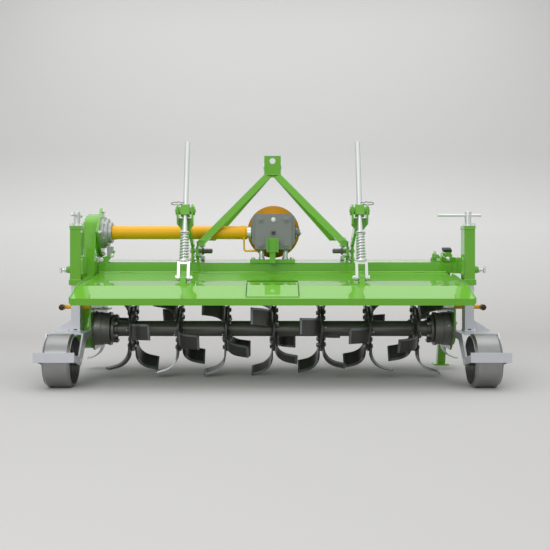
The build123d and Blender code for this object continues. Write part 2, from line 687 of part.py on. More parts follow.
# ---------------------------------------------------------------- gearbox and drive
def gearbox():
    """Cast housing with its front nose, side bearing caps and bottom flange."""
    x0, x1, cut = BOX_X - BOX_HALF, BOX_X + BOX_HALF, BOX_CHAMFER
    points = [(x0, BOX_BOTTOM + 40), (x0 + cut, BOX_BOTTOM + 22), (x0 + cut, BOX_BOTTOM), (x1 - cut, BOX_BOTTOM),
              (x1 - cut, BOX_BOTTOM + 22), (x1, BOX_BOTTOM + 40), (x1, BOX_TOP - cut), (x1 - cut, BOX_TOP),
              (x0 + cut, BOX_TOP), (x0, BOX_TOP - cut)]
    body = plate_y(points, BOX_REAR, BOX_FRONT)
    body += along_y(NOSE_R, BOX_FRONT, BOX_FRONT + NOSE_L, BOX_X, DRIVE_Z)
    for s, x in ((-1, x0), (1, x1)):
        body += along_x(SIDE_BOSS_R, *span(x, x + s * SIDE_BOSS_L), DRIVE_Y, DRIVE_Z)
    body += along_x(PLUG_R, x1, x1 + SIDE_BOSS_L + PLUG_L, DRIVE_Y, DRIVE_Z)
    return body - along_y(PTO_R + 6, BOX_FRONT - 30, BOX_FRONT + NOSE_L + 1, BOX_X, DRIVE_Z)


def gearbox_cover():
    """Rear cover plate, its upper corners cut off, with a plug in the middle."""
    half, cut = BOX_HALF - COVER_INSET, 12
    x0, x1, z0, z1 = BOX_X - half, BOX_X + half, BOX_BOTTOM + 3, BOX_TOP - 3
    points = [(x0, z0), (x1, z0), (x1, z1 - cut), (x1 - cut, z1), (x0 + cut, z1), (x0, z1 - cut)]
    plate = plate_y(points, BOX_REAR - COVER_T, BOX_REAR)
    return plate + along_y(12, BOX_REAR - COVER_T - 5, BOX_REAR - COVER_T, BOX_X, DRIVE_Z)


def gearbox_stand():
    """Base plate on the deck and the four columns under the gearbox."""
    base = box((-BASE_HALF, BASE_HALF), (BOX_REAR + 10, BOX_FRONT), (DECK_TOP, DECK_TOP + BASE_T))
    for s in (-1, 1):
        for y in (BOX_REAR + 32, BOX_FRONT - 24):
            base += along_z(COLUMN_R, DECK_TOP + BASE_T, BOX_BOTTOM, BOX_X + s * COLUMN_SPREAD, y)
    return base


def centre_bracket():
    """Upright channel on a stem, behind the gearbox."""
    half, back = CHANNEL_W / 2, CHANNEL_Y + CHANNEL_D
    web = back - CHANNEL_T
    z = (DECK_TOP + CHANNEL_LIFT, DECK_TOP + CHANNEL_LIFT + CHANNEL_H)
    channel = box((-half, half), (web, back), z)
    for s in (-1, 1):
        channel += box(span(s * half, s * (half - CHANNEL_T)), (CHANNEL_Y, web), z)
    stem = box((-half / 2, half / 2), (back, back + STEM_T), (DECK_TOP + BASE_T, z[0] + CHANNEL_H / 2))
    return channel + stem + box((-half / 2, half / 2), (back, BOX_REAR + 10), (DECK_TOP, DECK_TOP + BASE_T))


def pto_shaft():
    """Splined input stub."""
    end = BOX_FRONT + NOSE_L + PTO_LENGTH
    shaft = along_y(PTO_R, BOX_FRONT - 30, end, BOX_X, DRIVE_Z)
    for k in range(SPLINES):
        a = 2 * pi * k / SPLINES
        x, z = BOX_X + (PTO_R + 0.6) * cos(a), DRIVE_Z + (PTO_R + 0.6) * sin(a)
        shaft -= along_y(SPLINE_R, BOX_FRONT + NOSE_L + 20, end + 1, x, z)
    return shaft


def pto_guard():
    """Round shield round the input shaft, open to the front."""
    y, w, r = BOX_FRONT + NOSE_L / 2, PTO_GUARD_WALL, PTO_GUARD_R
    throat, cone = NOSE_R - 12, PTO_GUARD_DEPTH - 22
    profile = [(throat, y), (NOSE_R + 16, y), (r, y + cone), (r, y + PTO_GUARD_DEPTH), (r - w, y + PTO_GUARD_DEPTH),
               (r - w, y + cone + 2), (NOSE_R + 14, y + w), (throat, y + w)]
    shield = Pos(BOX_X, 0, DRIVE_Z + 8) * revolve(Polygon(*profile, align=None), axis=Axis.Y)
    return shield - along_y(NOSE_R, BOX_FRONT, y + PTO_GUARD_DEPTH, BOX_X, DRIVE_Z)


def cross_guard():
    """Tube that covers the shaft from the gearbox to the chain case."""
    ends = (-(SIDE_OUT - CASE_FLANGE_T - STACK_LENGTH), -GUARD_TUBE_START)
    tube = along_x(GUARD_TUBE_R, *ends, DRIVE_Y, DRIVE_Z)
    return tube - along_x(GUARD_TUBE_R - GUARD_TUBE_WALL, ends[0] + 20, ends[1], DRIVE_Y, DRIVE_Z)


def cross_coupling():
    """Short shaft between the gearbox's side cap and the guard tube."""
    start, end = -GUARD_TUBE_START - 30, BOX_X - BOX_HALF - SIDE_BOSS_L
    return along_x(COUPLING_R, start, end, DRIVE_Y, DRIVE_Z)


def rod_hook():
    """Bent rod under the gearbox."""
    y, z = BOX_REAR + 33, BOX_BOTTOM - HOOK_R
    far = BOX_X - BOX_HALF - 45
    end = BOX_X - COLUMN_SPREAD - 16
    bends = FilletPolyline((far, y, DRIVE_Z - 24), (far, y, z), (end, y, z), radius=HOOK_BEND)
    return tube_along(bends, HOOK_R)


# ---------------------------------------------------------------- chain case
def case_shape(x0, x1, top_r, low_r):
    """Plate whose outline wraps a circle at each end."""
    top, low = (DRIVE_Y, DRIVE_Z), (0.0, AXIS_Z)
    length = hypot(top[0] - low[0], top[1] - low[1])
    along = atan2(top[1] - low[1], top[0] - low[0])
    turn = pi / 2 - atan2(low_r - top_r, length)
    corners = []
    for (cy, cz), r, s in ((low, low_r, -1), (top, top_r, -1), (top, top_r, 1), (low, low_r, 1)):
        a = along + s * turn
        corners.append((cy + r * cos(a), cz + r * sin(a)))
    body = plate_x(corners, x0, x1) + along_x(top_r, x0, x1, *top)
    return body + along_x(low_r, x0, x1, *low)


def chain_case():
    """Case on the outside of the left side plate, with an eared flange at the drive's end.

    It is a tray whose open side the outer cover closes.
    """
    case = case_shape(-CASE_OUT, -SIDE_OUT, CASE_TOP_R, CASE_LOW_R)
    inside = (CASE_TOP_R - CASE_WALL, CASE_LOW_R - CASE_WALL)
    case -= case_shape(-CASE_OUT - 1, -SIDE_OUT - CASE_WALL, *inside)
    x = (-SIDE_OUT, -SIDE_OUT + CASE_FLANGE_T)
    flange = along_x(CASE_FLANGE_R, *x, DRIVE_Y, DRIVE_Z)
    for k in range(CASE_EARS):
        a = pi / 2 + 2 * pi * k / CASE_EARS
        y, z = DRIVE_Y + CASE_EAR_AT * cos(a), DRIVE_Z + CASE_EAR_AT * sin(a)
        flange += along_x(CASE_EAR_R, *x, y, z)
    return case + flange


def case_cap():
    """Outer cover of the chain case, with a raised boss over the upper wheel."""
    cover = case_shape(-CASE_OUT - CAP_T, -CASE_OUT, CASE_TOP_R - COVER_RIM, CASE_LOW_R - COVER_RIM)
    ends = (-CASE_OUT - CAP_T - CAP_BOSS_T, -CASE_OUT - CAP_T)
    return cover + along_x(CAP_BOSS_R, *ends, DRIVE_Y, DRIVE_Z)


def case_stack():
    """Stepped bearing flanges between the chain case and the cross shaft's guard."""
    x = -SIDE_OUT + CASE_FLANGE_T
    stack = None
    for radius, thickness in STACK:
        ring = along_x(radius, x, x + thickness, DRIVE_Y, DRIVE_Z)
        stack = ring if stack is None else stack + ring
        x += thickness
    return stack


# ---------------------------------------------------------------- rotor
def drum():
    """Fixed bearing housing inside the side plate: a base, a slimmer barrel and a rim at its open end."""
    start = WORK_HALF - DRUM_LENGTH
    body = along_x(DRUM_R, WORK_HALF - DRUM_BASE, WORK_HALF, 0, AXIS_Z)
    body += along_x(DRUM_BARREL_R, start, WORK_HALF - DRUM_BASE, 0, AXIS_Z)
    body += along_x(DRUM_R, start, start + DRUM_RIM, 0, AXIS_Z)
    body += along_x(SPIGOT_R, WORK_HALF, SIDE_OUT, 0, AXIS_Z)
    return body - along_x(JOURNAL_R + FIT, start - 1, start + 60, 0, AXIS_Z)


def shield_plate():
    """Small plate above a bearing drum."""
    x = (WORK_HALF - DRUM_LENGTH + 14, WORK_HALF)
    return box(x, (-SHIELD_W / 2, SHIELD_W / 2), (SHIELD_Z, SHIELD_Z + SHIELD_T))


def rotor_shaft():
    """Tube with a bolted end flange and a journal at each end."""
    end = WORK_HALF - END_GAP
    shaft = along_x(TUBE_R, -end, end, 0, AXIS_Z)
    for s in (-1, 1):
        shaft += along_x(END_FLANGE_R, *span(s * (end - END_FLANGE_T), s * end), 0, AXIS_Z)
        shaft += along_x(TUBE_R + 8, *span(s * (end - 2 * END_FLANGE_T), s * end), 0, AXIS_Z)
        shaft += along_x(JOURNAL_R, *span(s * end, s * (end + 60)), 0, AXIS_Z)
    return shaft


def blade():
    """Right-hand blade: a shank that lies on a flange, then a wide bend into a wing.

    It is drawn pointing up, its shank's back on the plane X = 0. The section is pushed along a
    direction that climbs by the clearance angle, so that the wing's cutting edge, on its +Y side,
    runs further out than its heel.
    """
    turn, twist = radians(BEND_TURN), radians(WING_TWIST)
    half = WING_W / 2
    wing_r = sqrt(TIP_R ** 2 - half ** 2) - half * sin(twist) / cos(twist)
    run = (BLADE_REACH - BEND_R * (1 - cos(turn))) / sin(turn)
    bend_from = wing_r - BEND_R * sin(turn) - run * cos(turn)

    def on_bend(radius, angle):
        return (BEND_R - radius * cos(angle), bend_from + radius * sin(angle))

    def tip(radius):
        x, r = on_bend(radius, turn)
        return (x + run * sin(turn), r + run * cos(turn))

    inside = BEND_R - BLADE_T
    edge = [
        Line((0, ROOT_R), (0, bend_from)),
        ThreePointArc((0, bend_from), on_bend(BEND_R, turn / 2), on_bend(BEND_R, turn)),
        Line(on_bend(BEND_R, turn), tip(BEND_R)),
        Line(tip(BEND_R), tip(inside)),
        Line(tip(inside), on_bend(inside, turn)),
        ThreePointArc(on_bend(inside, turn), on_bend(inside, turn / 2), (BLADE_T, bend_from)),
        Line((BLADE_T, bend_from), (BLADE_T, ROOT_R)),
        Line((BLADE_T, ROOT_R), (0, ROOT_R)),
    ]
    climb = Vector(0, cos(twist), sin(twist))
    reach = half / cos(twist)
    section = Plane(origin=climb * -reach, x_dir=(1, 0, 0), z_dir=(0, -1, 0)) * make_face(Wire(edge))
    bar = extrude(section, 2 * reach, dir=climb)
    narrow, wide = bend_from - 44, bend_from - 4
    outer = half + 1
    for s in (-1, 1):
        waste = [(s * SHANK_W / 2, 0), (s * outer, 0), (s * outer, wide), (s * SHANK_W / 2, narrow)]
        bar -= plate_x(waste, -1, BLADE_T + 1)
    return bar - plate_x([(-outer, 0), (outer, 0), (outer, ROOT_R), (-outer, ROOT_R)], -1, BLADE_T + 1)


def blade_flange(index, right, left):
    """One flange with its six blades, at its place and phase on the rotor."""
    x = FLANGE_SHIFT + FLANGE_PITCH * (index - (FLANGES - 1) / 2)
    body = along_x(FLANGE_R, -FLANGE_T / 2, FLANGE_T / 2, 0, 0)
    body -= along_x(TUBE_R, -FLANGE_T, FLANGE_T, 0, 0)
    for k in range(BLADES_PER_SIDE):
        turn = 360 / BLADES_PER_SIDE * k
        body += Rot(turn, 0, 0) * Pos(FLANGE_T / 2, 0, 0) * right
        body += Rot(turn + 180 / BLADES_PER_SIDE, 0, 0) * Pos(-FLANGE_T / 2, 0, 0) * left
    # at 90 degrees the first right-hand blade points backwards, and each step turns it down
    return Pos(x, 0, AXIS_Z) * Rot(90 + PHASE_STEP * index, 0, 0) * body


# ---------------------------------------------------------------- wheel posts and legs
def post():
    """Square post with its collars, clamp boss and the ear that bolts to the frame's."""
    x, y = POST_X, POST_Y

    def tube(over, low, high):
        w, d = POST_W / 2 + over, POST_D / 2 + over
        return box((x - w, x + w), (y - d, y + d), (low, high))

    body = tube(0, POST_BOTTOM, POST_TOP)
    body += tube(COLLAR_OVER, POST_BOTTOM, POST_BOTTOM + COLLAR_H)
    body += tube(TOP_RIM_OVER, POST_TOP - TOP_RIM_H, POST_TOP)
    body += along_x(CLAMP_R, x + POST_W / 2, x + POST_W / 2 + CLAMP_L, y, CLAMP_Z)
    rear = y + POST_D / 2
    ear = box((EAR_X, EAR_X + POST_EAR_T), (rear - POST_WALL, BEAM_Y - 53), (BEAM_BOTTOM, EAR_TOP))
    ear = round_corners(ear, EAR_ROUND, Axis.X, [(EAR_X, BEAM_Y - 53, EAR_TOP)])
    return body + ear - tube(-POST_WALL, POST_BOTTOM - 1, POST_TOP - 6)


def jack_handle(side):
    """Screw stub on the post's top, with its T bar."""
    x, y, z = side * POST_X, POST_Y, POST_TOP + HANDLE_Z
    stub = along_z(STUB_R, POST_TOP, POST_TOP + STUB_H, x, y)
    if side > 0:
        return stub + along_x(HANDLE_R, x - HANDLE_L * 0.7, x + HANDLE_L * 0.3, y, z)
    return stub + along_y(HANDLE_R, y - HANDLE_L * 0.55, y + HANDLE_L * 0.45, x, z)


def clamp_screw(side):
    """Screw with a wing, through the post's boss."""
    face = side * (POST_X + POST_W / 2 + CLAMP_L)
    screw = along_x(CLAMP_SCREW_R, *span(face, face + side * 30), POST_Y, CLAMP_Z)
    x = span(face + side * 30, face + side * 40)
    wing = (x, (POST_Y - 5, POST_Y + 5), (CLAMP_Z - 18, CLAMP_Z + 18))
    return screw + box(*wing)


def leg():
    """Square tube that slides in the post."""
    x, y = POST_X, POST_Y
    outer = box((x - TUBE_W / 2, x + TUBE_W / 2), (y - TUBE_D / 2, y + TUBE_D / 2), (FORK_Z, TUBE_TOP))
    w, d = TUBE_W / 2 - TUBE_WALL, TUBE_D / 2 - TUBE_WALL
    return outer - box((x - w, x + w), (y - d, y + d), (FORK_Z - 1, TUBE_TOP + 1))


def fork():
    """Crown plate, two cheeks that slope back to the axle and on to the scraper, and a gusset."""
    half, front, low = FORK_GAP / 2, SIDE_REAR_Y - 6, FORK_Z - FORK_T
    body = box((WHEEL_X - half - FORK_T, WHEEL_X + half + FORK_T), (FORK_REAR_Y, front), (low, FORK_Z))
    arm_top, arm_low = WHEEL_R + 20, WHEEL_R - 26
    cheek = [(front, FORK_Z), (FORK_REAR_Y, FORK_Z), (WHEEL_Y - 28, arm_top), (SCRAPER_Y, SCRAPER_BOTTOM + 36),
             (SCRAPER_Y, SCRAPER_BOTTOM + 4), (WHEEL_Y - 28, arm_low + 8), (WHEEL_Y - 14, arm_low),
             (WHEEL_Y + 14, arm_low), (-240, 215), (front, 225)]
    for s in (-1, 1):
        inner, outer = WHEEL_X + s * half, WHEEL_X + s * (half + FORK_T)
        body += plate_x(cheek, *span(inner, outer))
    body -= along_x(AXLE_R + 0.1, WHEEL_X - FORK_GAP, WHEEL_X + FORK_GAP, WHEEL_Y, WHEEL_R)
    edge = POST_X + TUBE_W / 2
    gusset = [(edge, FORK_Z + 57), (edge, FORK_Z + 22), (edge + 20, FORK_Z), (WHEEL_X + half + 4, FORK_Z)]
    return body + plate_y(gusset, POST_Y - 22, POST_Y - 14)


def scraper():
    """Plate across the ends of the fork's arms, just behind the wheel."""
    half = FORK_GAP / 2 + FORK_T + 4
    z = (SCRAPER_BOTTOM, SCRAPER_BOTTOM + SCRAPER_H)
    return box((WHEEL_X - half, WHEEL_X + half), (SCRAPER_Y - SCRAPER_T, SCRAPER_Y), z)


def wheel():
    """Smooth steel gauge wheel: a turned drum, dished on both sides, with its hub and axle."""
    half, wall, dish, soft = WHEEL_W / 2, WHEEL_WALL, WHEEL_DISH, WHEEL_ROUND
    hub_half = FORK_GAP / 2 - 5
    rim = [(WHEEL_R - wall - 4, half), (WHEEL_R - soft, half), (WHEEL_R, half - soft)]
    section = [(0, hub_half), (WHEEL_HUB_R, hub_half), (WHEEL_HUB_R, half - dish), (WHEEL_R - wall, half - dish)]
    upper = section + rim
    profile = upper + [(r, -x) for r, x in reversed(upper)]
    drum_shape = revolve(Polygon(*profile, align=None), axis=Axis.Y)
    body = Pos(WHEEL_X, WHEEL_Y, WHEEL_R) * Rot(0, 0, 90) * drum_shape
    reach = FORK_GAP / 2 + FORK_T
    return body + along_x(AXLE_R, WHEEL_X - reach, WHEEL_X + reach, WHEEL_Y, WHEEL_R)


def guard_bar():
    """Bent safety bar beside the wheel post, with its round end cap."""
    x, y, z = SIDE_OUT + GUARD_BAR_REACH, GUARD_BAR_Y, GUARD_BAR_Z
    bends = FilletPolyline((SIDE_OUT, y, z), (x, y, z), (x, y - 42, z), radius=GUARD_BAR_BEND)
    return tube_along(bends, GUARD_BAR_R) + along_y(GUARD_CAP_R, y - 48, y - 32, x, z)


# ---------------------------------------------------------------- parking stand
def stand_plane(distance):
    """Section plane across the stand, that far up from its foot."""
    y = STAND_FOOT_Y + distance * sin(STAND_LEAN)
    z = distance * cos(STAND_LEAN)
    return Plane(origin=(STAND_X, y, z), x_dir=(1, 0, 0), z_dir=(0, sin(STAND_LEAN), cos(STAND_LEAN)))


def stand():
    """Square tube with its foot plate and closed top."""
    length = hypot(STAND_TOP_Y - STAND_FOOT_Y, STAND_TOP_Z)
    inner = STAND_W - 2 * STAND_WALL
    tube = extrude(stand_plane(0) * Rectangle(STAND_W, STAND_W), length)
    tube -= extrude(stand_plane(0) * Rectangle(inner, inner), length - 6)
    tube &= box((-FAR, FAR), (-FAR, FAR), (FOOT_T, FAR))
    half = FOOT_W / 2
    foot = box((STAND_X - half, STAND_X + half), (STAND_FOOT_Y - half, STAND_FOOT_Y + half), (0, FOOT_T))
    return tube + foot


def stand_sleeve():
    """Square sleeve on the deck's end that the stand slides in, with its cheek and lock pin."""
    w, floor = STAND_W + 2 * FIT, DECK_TOP
    low, high = BEAM_TOP, (floor + SLEEVE_H) / cos(STAND_LEAN)
    sleeve = extrude(stand_plane(low) * Rectangle(w + 2 * SLEEVE_WALL, w + 2 * SLEEVE_WALL), high - low)
    sleeve &= box((-FAR, FAR), (-FAR, FAR), (floor, FAR))
    y, edge = STAND_AT_DECK, STAND_X - SLEEVE_HALF
    outer = edge - STAND_CHEEK_GAP
    outline = [(y - 45, floor), (y + 40, floor), (y + 10, floor + 65), (y - 35, floor + 50)]
    cheek = plate_x(outline, outer - STAND_CHEEK_T, outer)
    rib = box((outer, edge + 2), (y - 12, y - 4), (floor, floor + 34))
    body = sleeve + cheek + rib + along_x(STAND_PIN_R, outer - 22, edge + 2, y - 14, floor + 28)
    return body - extrude(stand_plane(low - 80) * Rectangle(w, w), high - low + 160)


# ---------------------------------------------------------------- write the nodes
def main():
    os.makedirs("parts", exist_ok=True)
    for name, side in SIDES.items():
        turn = mirror_x if side < 0 else (lambda shape: shape)
        save(f"side_plate_{name}", turn(side_plate()))
        save(f"bearing_drum_{name}", turn(drum()))
        save(f"spring_rod_{name}", spring_rod(side))
        save(f"spring_{name}", spring(side))
        save(f"swivel_head_{name}", swivel_head(side))
        save(f"wheel_leg_{name}", turn(leg()))
        save(f"wheel_fork_{name}", turn(fork()))
        save(f"wheel_scraper_{name}", turn(scraper()))
        save(f"wheel_{name}", turn(wheel()))
    save("wheel_post_right", post())
    save("wheel_post_left", mirror_x(post()) - case_shape(-CASE_OUT, -SIDE_OUT, CASE_TOP_R, CASE_LOW_R))
    save("bearing_shields", *both(shield_plate))
    save("hitch_plates", hitch_plate(-1), hitch_plate(1))
    save("lower_hitch_pins", hitch_pin(-1), hitch_pin(1))
    save("rod_arms", rod_arm(-1), rod_arm(1))
    save("jack_handles", jack_handle(-1), jack_handle(1))
    save("clamp_screws", clamp_screw(-1), clamp_screw(1))
    save("guard_bars", *both(guard_bar))
    save("skids", *both(skid))
    save("deck", deck())
    save("rear_beam", rear_beam())
    save("headstock", headstock())
    save("hood", hood())
    save("hood_lugs", hood_lug(-1), hood_lug(1))
    save("hood_hinge", hinge())
    save("gearbox", gearbox())
    save("gearbox_cover", gearbox_cover())
    save("gearbox_stand", gearbox_stand())
    save("centre_bracket", centre_bracket())
    save("pto_shaft", pto_shaft())
    save("pto_guard", pto_guard())
    save("cross_shaft_guard", cross_guard())
    save("cross_shaft_coupling", cross_coupling())
    save("rod_hook", rod_hook())
    save("chain_case", chain_case())
    save("case_cap", case_cap())
    save("case_flanges", case_stack())
    save("rotor_shaft", rotor_shaft())
    right = blade()
    left = mirror_x(right)
    save("blade_flanges", *[blade_flange(index, right, left) for index in range(FLANGES)])
    save("parking_stand", stand())
    save("stand_sleeve", stand_sleeve())


main()
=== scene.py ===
"""Rotavator in its parked state: finishes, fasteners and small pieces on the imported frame.

Lengths below are in millimetres in the part's own axes, with Y = 0 on the rotor's axis; they are
turned into metres in the shared frame as each piece is finished. Camera, floor and lamps are in
metres.
"""
import math

import bmesh
import bpy
from mathutils import Matrix, Vector


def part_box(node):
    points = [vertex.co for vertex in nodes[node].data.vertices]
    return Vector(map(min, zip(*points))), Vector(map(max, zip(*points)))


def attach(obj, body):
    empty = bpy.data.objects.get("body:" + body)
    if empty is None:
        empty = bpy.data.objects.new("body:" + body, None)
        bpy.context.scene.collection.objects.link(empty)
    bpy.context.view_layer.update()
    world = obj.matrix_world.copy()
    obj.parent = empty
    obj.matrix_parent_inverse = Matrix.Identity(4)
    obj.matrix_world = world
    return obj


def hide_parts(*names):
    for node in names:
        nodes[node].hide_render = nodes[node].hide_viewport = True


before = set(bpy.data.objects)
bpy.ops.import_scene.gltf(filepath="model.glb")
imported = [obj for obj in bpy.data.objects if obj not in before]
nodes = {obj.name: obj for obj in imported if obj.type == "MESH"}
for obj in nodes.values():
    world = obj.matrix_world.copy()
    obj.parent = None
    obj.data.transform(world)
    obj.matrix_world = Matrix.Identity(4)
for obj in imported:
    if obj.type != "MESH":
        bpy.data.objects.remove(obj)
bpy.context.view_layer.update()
ROTOR_Y = sum(corner[1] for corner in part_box("rotor_shaft")) / 2

# ---------------------------------------------------------------- places on the part
SIDES = (("left", -1), ("right", 1))
X, Y, Z = Vector((1, 0, 0)), Vector((0, 1, 0)), Vector((0, 0, 1))
AXIS_Z = 252.0  # rotor's axis above the ground
SIDE_OUT, SKID_OUT = 955.0, 962.0  # outer faces of a side plate, and of a shoe on it
DECK_TOP = 600.0
BEAD_Z = DECK_TOP + 1.0  # middle of a weld bead that lies on the deck
FLANGES, FLANGE_PITCH, FLANGE_SHIFT, FLANGE_T = 7, 250.0, 8.0, 10.0
BLADES_PER_SIDE, PHASE_START, PHASE_STEP = 3, 90.0, 13.0  # angles in degrees
BLADE_T, TIP_R, BLADE_REACH, WING_HALF = 8.0, 250.0, 113.0, 41.0
BEND_R, BEND_TURN, WING_TWIST = 92.0, 75.0, 16.0
DRIVE_Y, DRIVE_Z = 177.0, 767.0  # cross shaft
EAR_AT = 118.0  # the drive flange's bolts, from the cross shaft's axis
BOX_X, BOX_Z, COVER_Y = 5.0, 766.0, 80.0  # gearbox's middle, and its rear cover's face
ROD_X, EYE, PIVOT = 454.0, (-213.0, 529.0), (-106.0, 875.0)
ARM_SET = 17.0  # arm's middle from the rod, inwards
HITCH_IN, HITCH_OUT = 400.0, 415.0  # faces of a hitch plate
HITCH_PIN = (360.0, 665.0)
TOP_HALF, TOP_PIN = 47.0, (350.0, 1150.0)  # top link bracket
HINGE_Y, HINGE_Z = 104.0, 548.0
KNUCKLES, KNUCKLE_PITCH = 5, 400.0
FOLD_Y, FOLD_Z, LIP_Y, LIP_Z, HOOD_T = -319.0, 493.0, -460.0, 437.0, 5.0
POST_X, POST_Y, POST_TOP = 1010.0, -148.0, 794.0
CLAMP_Z, HANDLE_Z, FORK_BEAD_Z = 569.0, 850.0, 257.0
WHEEL_X, WHEEL_Y, WHEEL_Z = 1035.0, -376.0, 130.0
STAND_X, STAND_FOOT_Y, STAND_TOP = 984.0, 450.0, (265.0, 671.0)
STAND_PIN_Z = 622.0

# ---------------------------------------------------------------- camera, floor and light
CAMERA_AT = (0.0, -4.5928, 0.671)
CAMERA_LENS, CAMERA_SENSOR, CAMERA_FAR = 56.55, 36.0, 60.0
CAMERA_SHIFT = (0.0045, -0.0455)
FLOOR_WIDTH, FLOOR_FRONT, FLOOR_BACK = 48.0, -24.0, 3.6
BACKDROP_BEND, BACKDROP_TOP, BEND_STEPS = 1.6, 9.0, 12
FLOOR_BOUNCE = (0.30, 0.29, 0.28)  # what the floor's colour is for light that bounces
FLOOR_SEEN, BACKDROP_SEEN, PALEST_Z = (0.60, 0.595, 0.59), (0.88, 0.88, 0.88), 0.9
SKY_LIGHTING, SKY_SEEN, SKY_TOP, SKY_TOP_AT = 0.24, 0.66, 1.0, 0.7
LAMPS = (("top_lamp", (0.0, 0.9, 4.0), 4.8, 70.0),
         ("front_lamp", (-1.6, -5.2, 2.8), 2.6, 60.0))  # place, size, watts
LAMP_AIM = (0, 0, 0.45)
MIX_FACTOR, MIX_A, MIX_B, MIX_RESULT = 0, 6, 7, 2  # sockets of a colour mix node


def link_to_scene(thing):
    """Put an object in the scene."""
    bpy.context.scene.collection.objects.link(thing)


def make_camera():
    """Camera that looks level along +Y."""
    data = bpy.data.cameras.new("view")
    data.lens = CAMERA_LENS
    data.sensor_width = CAMERA_SENSOR
    data.shift_x, data.shift_y = CAMERA_SHIFT
    data.clip_end = CAMERA_FAR
    camera = bpy.data.objects.new("view", data)
    camera.location = CAMERA_AT
    camera.rotation_euler = (math.radians(90), 0, 0)
    link_to_scene(camera)
    bpy.context.scene.camera = camera


def add_node(tree, kind, inputs=()):
    """New node with some of its inputs set."""
    node = tree.nodes.new(kind)
    for name, value in dict(inputs).items():
        node.inputs[name].default_value = value
    return node


def mixed(tree, factor, low, high):
    """Mix two colours; each is a colour or an output."""
    mix = tree.nodes.new("ShaderNodeMix")
    mix.data_type = "RGBA"
    tree.links.new(factor, mix.inputs[MIX_FACTOR])
    for socket, value in ((mix.inputs[MIX_A], low), (mix.inputs[MIX_B], high)):
        if isinstance(value, tuple):
            socket.default_value = (*value, 1)
        else:
            tree.links.new(value, socket)
    return mix.outputs[MIX_RESULT]


def seen_directly(tree):
    """One for camera, glossy and transmission rays, nothing for the light that bounces."""
    path = tree.nodes.new("ShaderNodeLightPath")
    out = path.outputs["Is Camera Ray"]
    for name in ("Is Glossy Ray", "Is Transmission Ray"):
        both = tree.nodes.new("ShaderNodeMath")
        both.operation = "MAXIMUM"
        tree.links.new(out, both.inputs[0])
        tree.links.new(path.outputs[name], both.inputs[1])
        out = both.outputs[0]
    return out


def height_in(tree, space):
    """Z of a texture space."""
    place = tree.nodes.new("ShaderNodeTexCoord")
    split = tree.nodes.new("ShaderNodeSeparateXYZ")
    tree.links.new(place.outputs[space], split.inputs[0])
    return split.outputs["Z"]


def graded(tree, value, low, high, top):
    """Colour that goes from low to high while a value goes from nothing to top."""
    ramp = tree.nodes.new("ShaderNodeValToRGB")
    first, last = ramp.color_ramp.elements
    first.color = (*low, 1)
    last.color = (*high, 1)
    last.position = top
    tree.links.new(value, ramp.inputs["Fac"])
    return ramp.outputs["Color"]


def make_floor():
    """Pale floor that curves up into a pale backdrop."""
    foot = FLOOR_BACK - BACKDROP_BEND
    rows = [(FLOOR_FRONT, 0.0), (foot, 0.0)]
    for k in range(1, BEND_STEPS + 1):
        a = math.radians(90 * k / BEND_STEPS)
        rows.append((foot + BACKDROP_BEND * math.sin(a), BACKDROP_BEND * (1 - math.cos(a))))
    rows.append((FLOOR_BACK, BACKDROP_TOP))
    points = [(x, y, z) for y, z in rows for x in (-FLOOR_WIDTH / 2, FLOOR_WIDTH / 2)]
    faces = [(k, k + 1, k + 3, k + 2) for k in range(0, len(points) - 2, 2)]
    mesh = bpy.data.meshes.new("floor")
    mesh.from_pydata(points, [], faces)
    mesh.shade_smooth()
    floor = bpy.data.objects.new("floor", mesh)
    link_to_scene(floor)
    material = bpy.data.materials.new("floor")
    material.use_nodes = True
    tree = material.node_tree
    shader = tree.nodes["Principled BSDF"]
    seen = graded(tree, height_in(tree, "Object"), FLOOR_SEEN, BACKDROP_SEEN, PALEST_Z)
    colour = mixed(tree, seen_directly(tree), FLOOR_BOUNCE, seen)
    tree.links.new(colour, shader.inputs["Base Color"])
    shader.inputs["Roughness"].default_value = 0.85
    mesh.materials.append(material)


def make_light():
    """Sky that is paler where it is seen than where it lights, and two large lamps."""
    world = bpy.data.worlds.new("sky")
    bpy.context.scene.world = world
    world.use_nodes = True
    tree = world.node_tree
    background = tree.nodes["Background"]
    height = height_in(tree, "Generated")
    lighting, seen = (graded(tree, height, (horizon,) * 3, (SKY_TOP,) * 3, SKY_TOP_AT)
                      for horizon in (SKY_LIGHTING, SKY_SEEN))
    tree.links.new(mixed(tree, seen_directly(tree), lighting, seen), background.inputs["Color"])
    background.inputs["Strength"].default_value = 1.0
    for name, place, size, power in LAMPS:
        data = bpy.data.lights.new(name, "AREA")
        data.size = size
        data.energy = power
        lamp = bpy.data.objects.new(name, data)
        lamp.location = place
        aim = Vector(LAMP_AIM) - Vector(place)
        lamp.rotation_euler = aim.to_track_quat("-Z", "Y").to_euler()
        link_to_scene(lamp)
    bpy.context.scene.view_settings.view_transform = "Standard"


# ---------------------------------------------------------------- materials
def srgb(r, g, b):
    """Linear colour from 0-255 screen values."""
    def linear(v):
        v /= 255
        return v / 12.92 if v <= 0.04045 else ((v + 0.055) / 1.055) ** 2.4
    return (linear(r), linear(g), linear(b))


def shaded(colour, share):
    """A colour made paler or darker by a share of itself."""
    return tuple(min(1.0, c * (1 + share)) for c in colour)


COAT_ROUGHNESS = 0.04
PATCH_SCALE, PATCH_DETAIL, FINE_DETAIL = 5.0, 6.0, 4.0
RELIEF_DEPTH = 0.002  # metres
BEVEL_SAMPLES = 6


